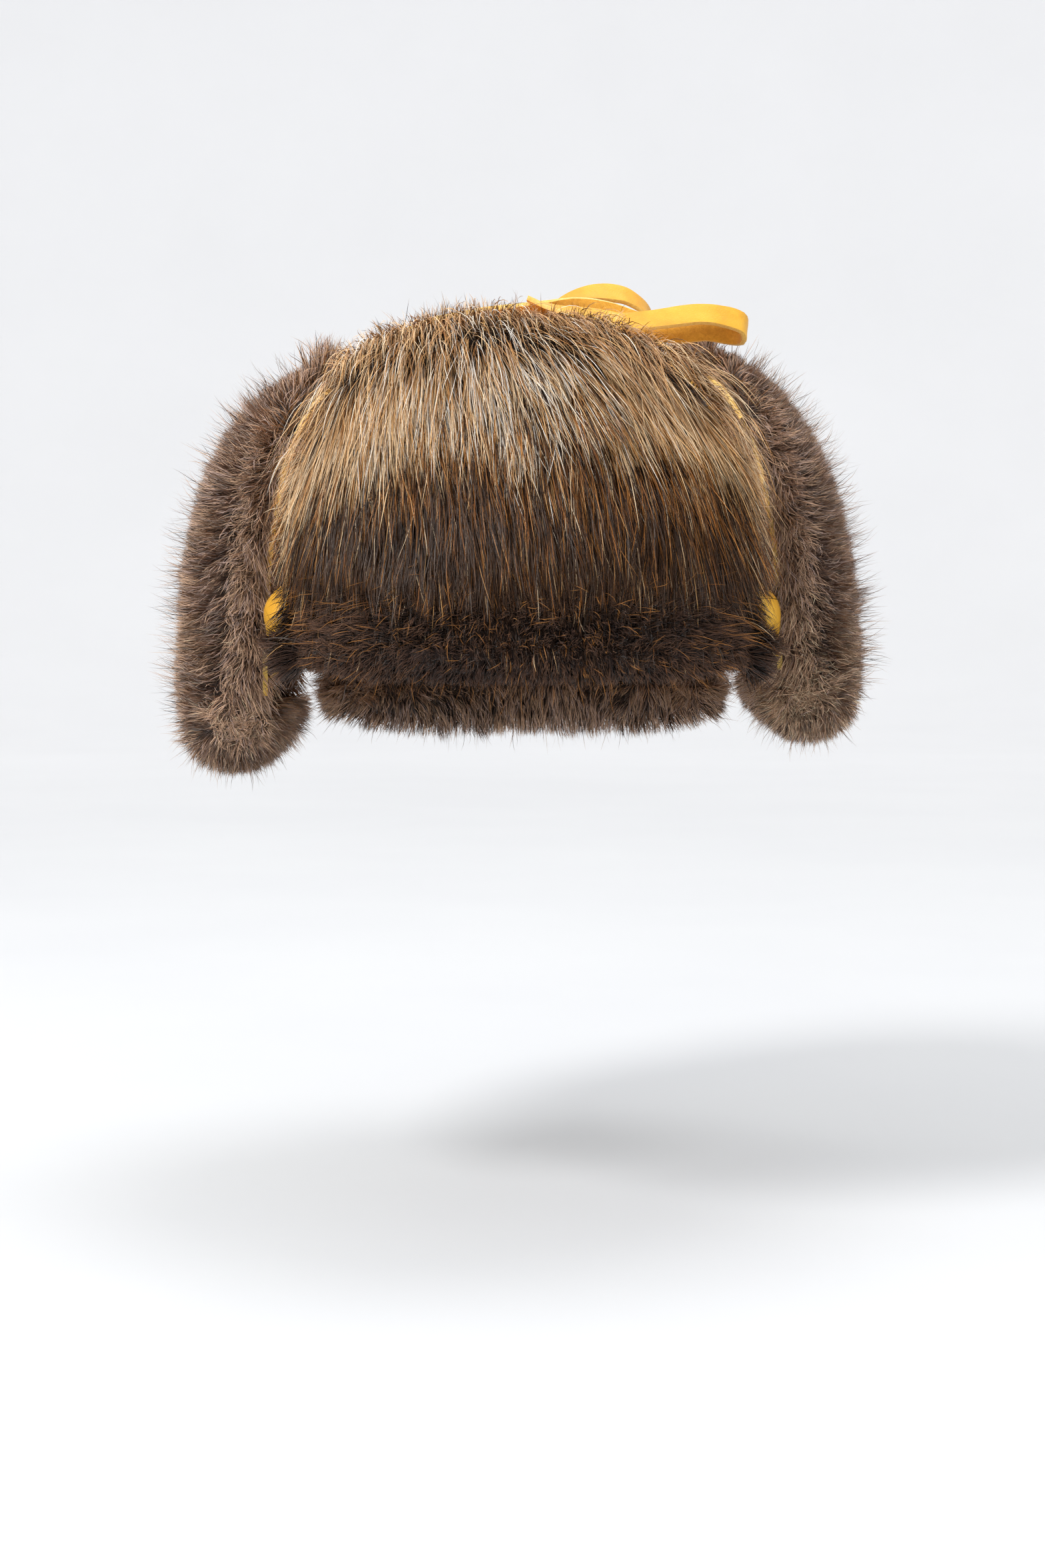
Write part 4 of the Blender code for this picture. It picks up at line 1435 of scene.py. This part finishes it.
def make_flap_leather(name, flap):
    """The leather facing of a flap, its smooth side towards the crown, and its stitches."""
    last_u = 1 + EDGE_STRIP * (flap["leather_reach"] - 1)
    outer, inner = layer_sheet(flap, 0.0, LEATHER, 44, 60, FIRST_ROW, last_u)
    normal = grid_normals(inner)
    out = np.asarray(flap["out"], float)
    normal = normal * np.sign(np.sum(normal * out, axis=-1).mean())
    dents = 0.00035 * layered_noise(inner, 0.012, 501, 3)
    inner = inner + normal * np.abs(dents)[..., None]
    piece = leather_sheet(f"{name}_facing", inner, outer)
    settle(piece, "gold_leather", name, f"{name}_leather")
    rows, columns = inner.shape[:2]
    side = np.linspace(1.0, rows - 3.0, 160)
    across = np.linspace(2.5, columns - 3.5, 200)
    runs = [
        grid_run(inner, -normal, side, np.full(len(side), 2.5)),
        grid_run(inner, -normal, np.full(len(across), rows - 3.0), across),
        grid_run(inner, -normal, side[::-1], np.full(len(side), columns - 3.5)),
    ]
    stitch_object(f"{name}_stitching", runs, "gold_leather", name)


GUSSET_TOP = 0.0012
GUSSET_OVERLAP = 0.03
GUSSET_WIDTH = 0.93


def make_gusset(name, flap, rim_half, rim_bow):
    """The leather that carries a flap, from under the rim binding to the flap's facing."""
    rows, columns = 12, 48
    first = FIRST_ROW + GUSSET_OVERLAP
    bottom = layer_sheet(flap, -0.0003, LEATHER, 4, columns, first, GUSSET_WIDTH)[1][0]
    along_axis = np.asarray(flap["along"], float)
    out = np.asarray(flap["out"], float)
    along = bottom @ along_axis
    reach = rim_half - rim_bow * (along - flap["centre_base"]) ** 2
    top = out * reach[:, None] + along_axis * along[:, None]
    top[:, 2] = GUSSET_TOP
    share = np.linspace(0, 1, rows)[:, None, None]
    grid = top[None] * (1 - share) + bottom[None] * share
    sag = np.sin(math.pi * share) * 0.0012
    grid = grid + out * (sag + 0.0004 * noise(grid, 0.010, 523)[..., None])
    back = grid - out * 0.0011
    piece = leather_sheet(f"{name}_fold_leather", grid, back)
    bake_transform(piece)


def make_felt(name, flap):
    """The felt between a flap's leather and its pelt."""
    low = LEATHER + FLAP_LAYER_GAP
    outer, inner = layer_sheet(flap, low, low + INTERLINING, 30, 44, 2 / 12, 0.93)
    piece = sheet_object(f"{name}_felt", inner, outer, felt_wool)
    settle(piece, "interlining_felt", name, f"{name}_interlining")


def make_visual_tab(side):
    """The leather tab that holds a lace on its ear flap's tip, and its stitches."""
    flap = FLAPS[f"{side}_flap"]
    run = bezier(flap["inner"], 1.0) - bezier(flap["inner"], 0.97)
    run *= 0.003 / np.linalg.norm(run)
    middle = flap["centre_tip"] + TAB_SHIFT
    rows, columns = 26, 16
    s, place = np.meshgrid(np.linspace(0, 1, rows), np.linspace(-1, 1, columns), indexing="ij")
    t = np.minimum(10 / 12 + s * 2.2 / 12, 1.0)
    past = np.maximum(s * 2.2 - 2.0, 0.0) / 0.2
    round_low = np.sqrt(np.maximum(1 - (1 - np.minimum(s / 0.16, 1)) ** 2 * 0.35, 0))
    along = middle + 0.5 * TAB_WIDTH * place * round_low
    top = inner_offset(flap, t, along, -TAB_GAP) + past[..., None] * run
    low = inner_offset(flap, t, along, -TAB_GAP - TAB_THICKNESS) + past[..., None] * run
    outer, inner = flap_point(flap, top, along), flap_point(flap, low, along)
    piece = leather_sheet(f"{side}_tab_leather", inner, outer)
    settle(piece, "gold_leather", f"{side}_flap", f"{side}_lace_tab")
    normal = grid_normals(inner)
    normal = normal * -np.sign(np.sum(normal * np.asarray(flap["out"], float)))
    rows_run = np.linspace(2.0, rows - 5.0, 40)
    cols_run = np.linspace(2.0, columns - 3.0, 24)
    runs = [
        grid_run(inner, normal, rows_run, np.full(40, 2.0)),
        grid_run(inner, normal, rows_run, np.full(40, columns - 3.0)),
        grid_run(inner, normal, np.full(24, 2.0), cols_run),
    ]
    stitch_object(f"{side}_tab_stitching", runs, "gold_leather", f"{side}_flap")


CORNER_INNER = (0.0768, -0.0665)
CORNER_OUTER = (0.0845, -0.0640)


def make_corner_loop(side_name, side):
    """The soft leather fold in a front corner: it stands open in a small loop low down."""
    rows, columns = 44, 18
    s, across = np.meshgrid(np.linspace(0, 1, rows), np.linspace(0, 1, columns), indexing="ij")
    height = -0.0030 + 0.0370 * s
    lean = 1 - 0.085 * smooth_step((s - 0.30) / 0.70)
    narrow = 1 - 0.45 * s
    belly = np.exp(-(((height - 0.012) / 0.0085) ** 2))
    x = CORNER_INNER[0] + (CORNER_OUTER[0] - CORNER_INNER[0]) * (across * narrow)
    x = x + 0.0040 * belly * (across - 0.35)
    y = CORNER_INNER[1] + (CORNER_OUTER[1] - CORNER_INNER[1]) * (across * narrow)
    y = y - (0.0014 + 0.0075 * belly) * np.sin(math.pi * np.clip(across * 0.93 + 0.07, 0, 1))
    height = height + 0.004 * belly * (across - 0.5)
    front = np.stack([side * x * lean, y * lean, height], axis=-1)
    front = front + 0.0003 * noise(front, 0.006, 541)[..., None]
    back = front + np.array([0.0, 0.0014, 0.0])
    piece = leather_sheet(f"{side_name}_corner_loop", front, back)
    settle(piece, "gold_leather", "crown", f"{side_name}_corner_fold")


def make_band_stitches():
    height = CROWN_BOTTOM + SWEATBAND_HEIGHT - 0.0035
    runs = [ring_run(BAND_INSIDE, height, -1)]
    stitch_object("sweatband_stitching", runs, "sweatband_leather", "crown")


RIM_LINES = {
    "front_flap": (0.1085, 6.6),
    "left_flap": (0.0890, 5.0),
    "right_flap": (0.0890, 5.0),
    "neck_flap": (0.1085, 6.6),
}
for flap_name, shape in FLAPS.items():
    make_flap_leather(flap_name, shape)
    make_gusset(flap_name, shape, *RIM_LINES[flap_name])
    make_felt(flap_name, shape)
for side_name, side in (("left", -1), ("right", 1)):
    make_visual_tab(side_name)
    make_corner_loop(side_name, side)
make_band_stitches()

# ---- floor and light
FLOOR_DROP = 0.145  # room for the flaps to hang down
BOWL_FLAT = 2.6
BOWL_CURVE = 1.6
BOWL_HEIGHT = 2.6
# NEAR_FLOOR to FAR_FLOOR: distances over which the floor's painted shade fades into painted light
NEAR_FLOOR = 0.3
FAR_FLOOR = 2.4


def floor_look():
    """Pale board with painted shade: greyer near the hat, where the lamps light it most, and
    painted lighter far off, where less light reaches it, to meet the backdrop.
    """
    look = Look("pale_floor")
    place = look.place()
    tone = look.noise(place, 3.0, 3.0)
    far = look.node("ShaderNodeVectorMath", {0: place}, operation="LENGTH").outputs["Value"]
    # painted shade near the hat and painted light far off, evening out how the lamps fall on the
    # floor
    near = look.ramp(tone, (0.3, "d2d3d5"), (0.7, "d6d7d8"))
    back = look.ramp(tone, (0.3, "f6f6f7"), (0.7, "f9f9fa"))
    share = look.span(far, 0.0, 1.0, NEAR_FLOOR, FAR_FLOOR)
    return look.done(look.mix(share, near, back), 0.85, 0.15)


def make_floor():
    """A wide flat floor that curves up at its far edge, as one bowl."""
    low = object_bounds()[0][2] - FLOOR_DROP
    profile = [(0.4, 0.0), (1.2, 0.0), (BOWL_FLAT, 0.0)]
    for k in range(1, 13):
        turn = 0.5 * math.pi * k / 12
        away = BOWL_FLAT + BOWL_CURVE * math.sin(turn)
        profile.append((away, BOWL_CURVE * (1 - math.cos(turn))))
    profile.append((BOWL_FLAT + BOWL_CURVE, BOWL_HEIGHT))
    steps = 72
    points, faces = [], []
    for radius, height in profile:
        for k in range(steps):
            turn = 2 * math.pi * k / steps
            points.append((radius * math.cos(turn), radius * math.sin(turn), low + height))
    for i in range(len(profile) - 1):
        for k in range(steps):
            j = (k + 1) % steps
            faces.append((i * steps + k, (i + 1) * steps + k, (i + 1) * steps + j, i * steps + j))
    faces.append(tuple(range(steps)))
    mesh_object("floor", points, faces, (floor_look(),))


def area_light(name, place, target, size, power):
    data = bpy.data.lights.new(name, "AREA")
    data.shape = "DISK"
    data.size = size
    data.energy = power
    made = bpy.data.objects.new(name, data)
    made.location = place
    way = Vector(target) - Vector(place)
    made.rotation_euler = way.to_track_quat("-Z", "Y").to_euler()
    bpy.context.scene.collection.objects.link(made)


def make_world(colour, strength):
    world = bpy.data.worlds.new("studio")
    world.use_nodes = True
    back = world.node_tree.nodes["Background"]
    back.inputs["Color"].default_value = (*linear(colour), 1.0)
    back.inputs["Strength"].default_value = strength
    bpy.context.scene.world = world


make_floor()
make_world("f1f2f3", 1.0)
area_light("key", (-0.85, -0.95, 1.15), (0, 0, 0.03), 0.5, 23)
area_light("top", (0.25, 0.1, 1.5), (0, 0, 0.05), 0.9, 8)
area_light("fill", (1.2, -0.9, 0.3), (0, 0, 0.0), 0.8, 3)
bpy.context.scene.view_settings.view_transform = "Standard"
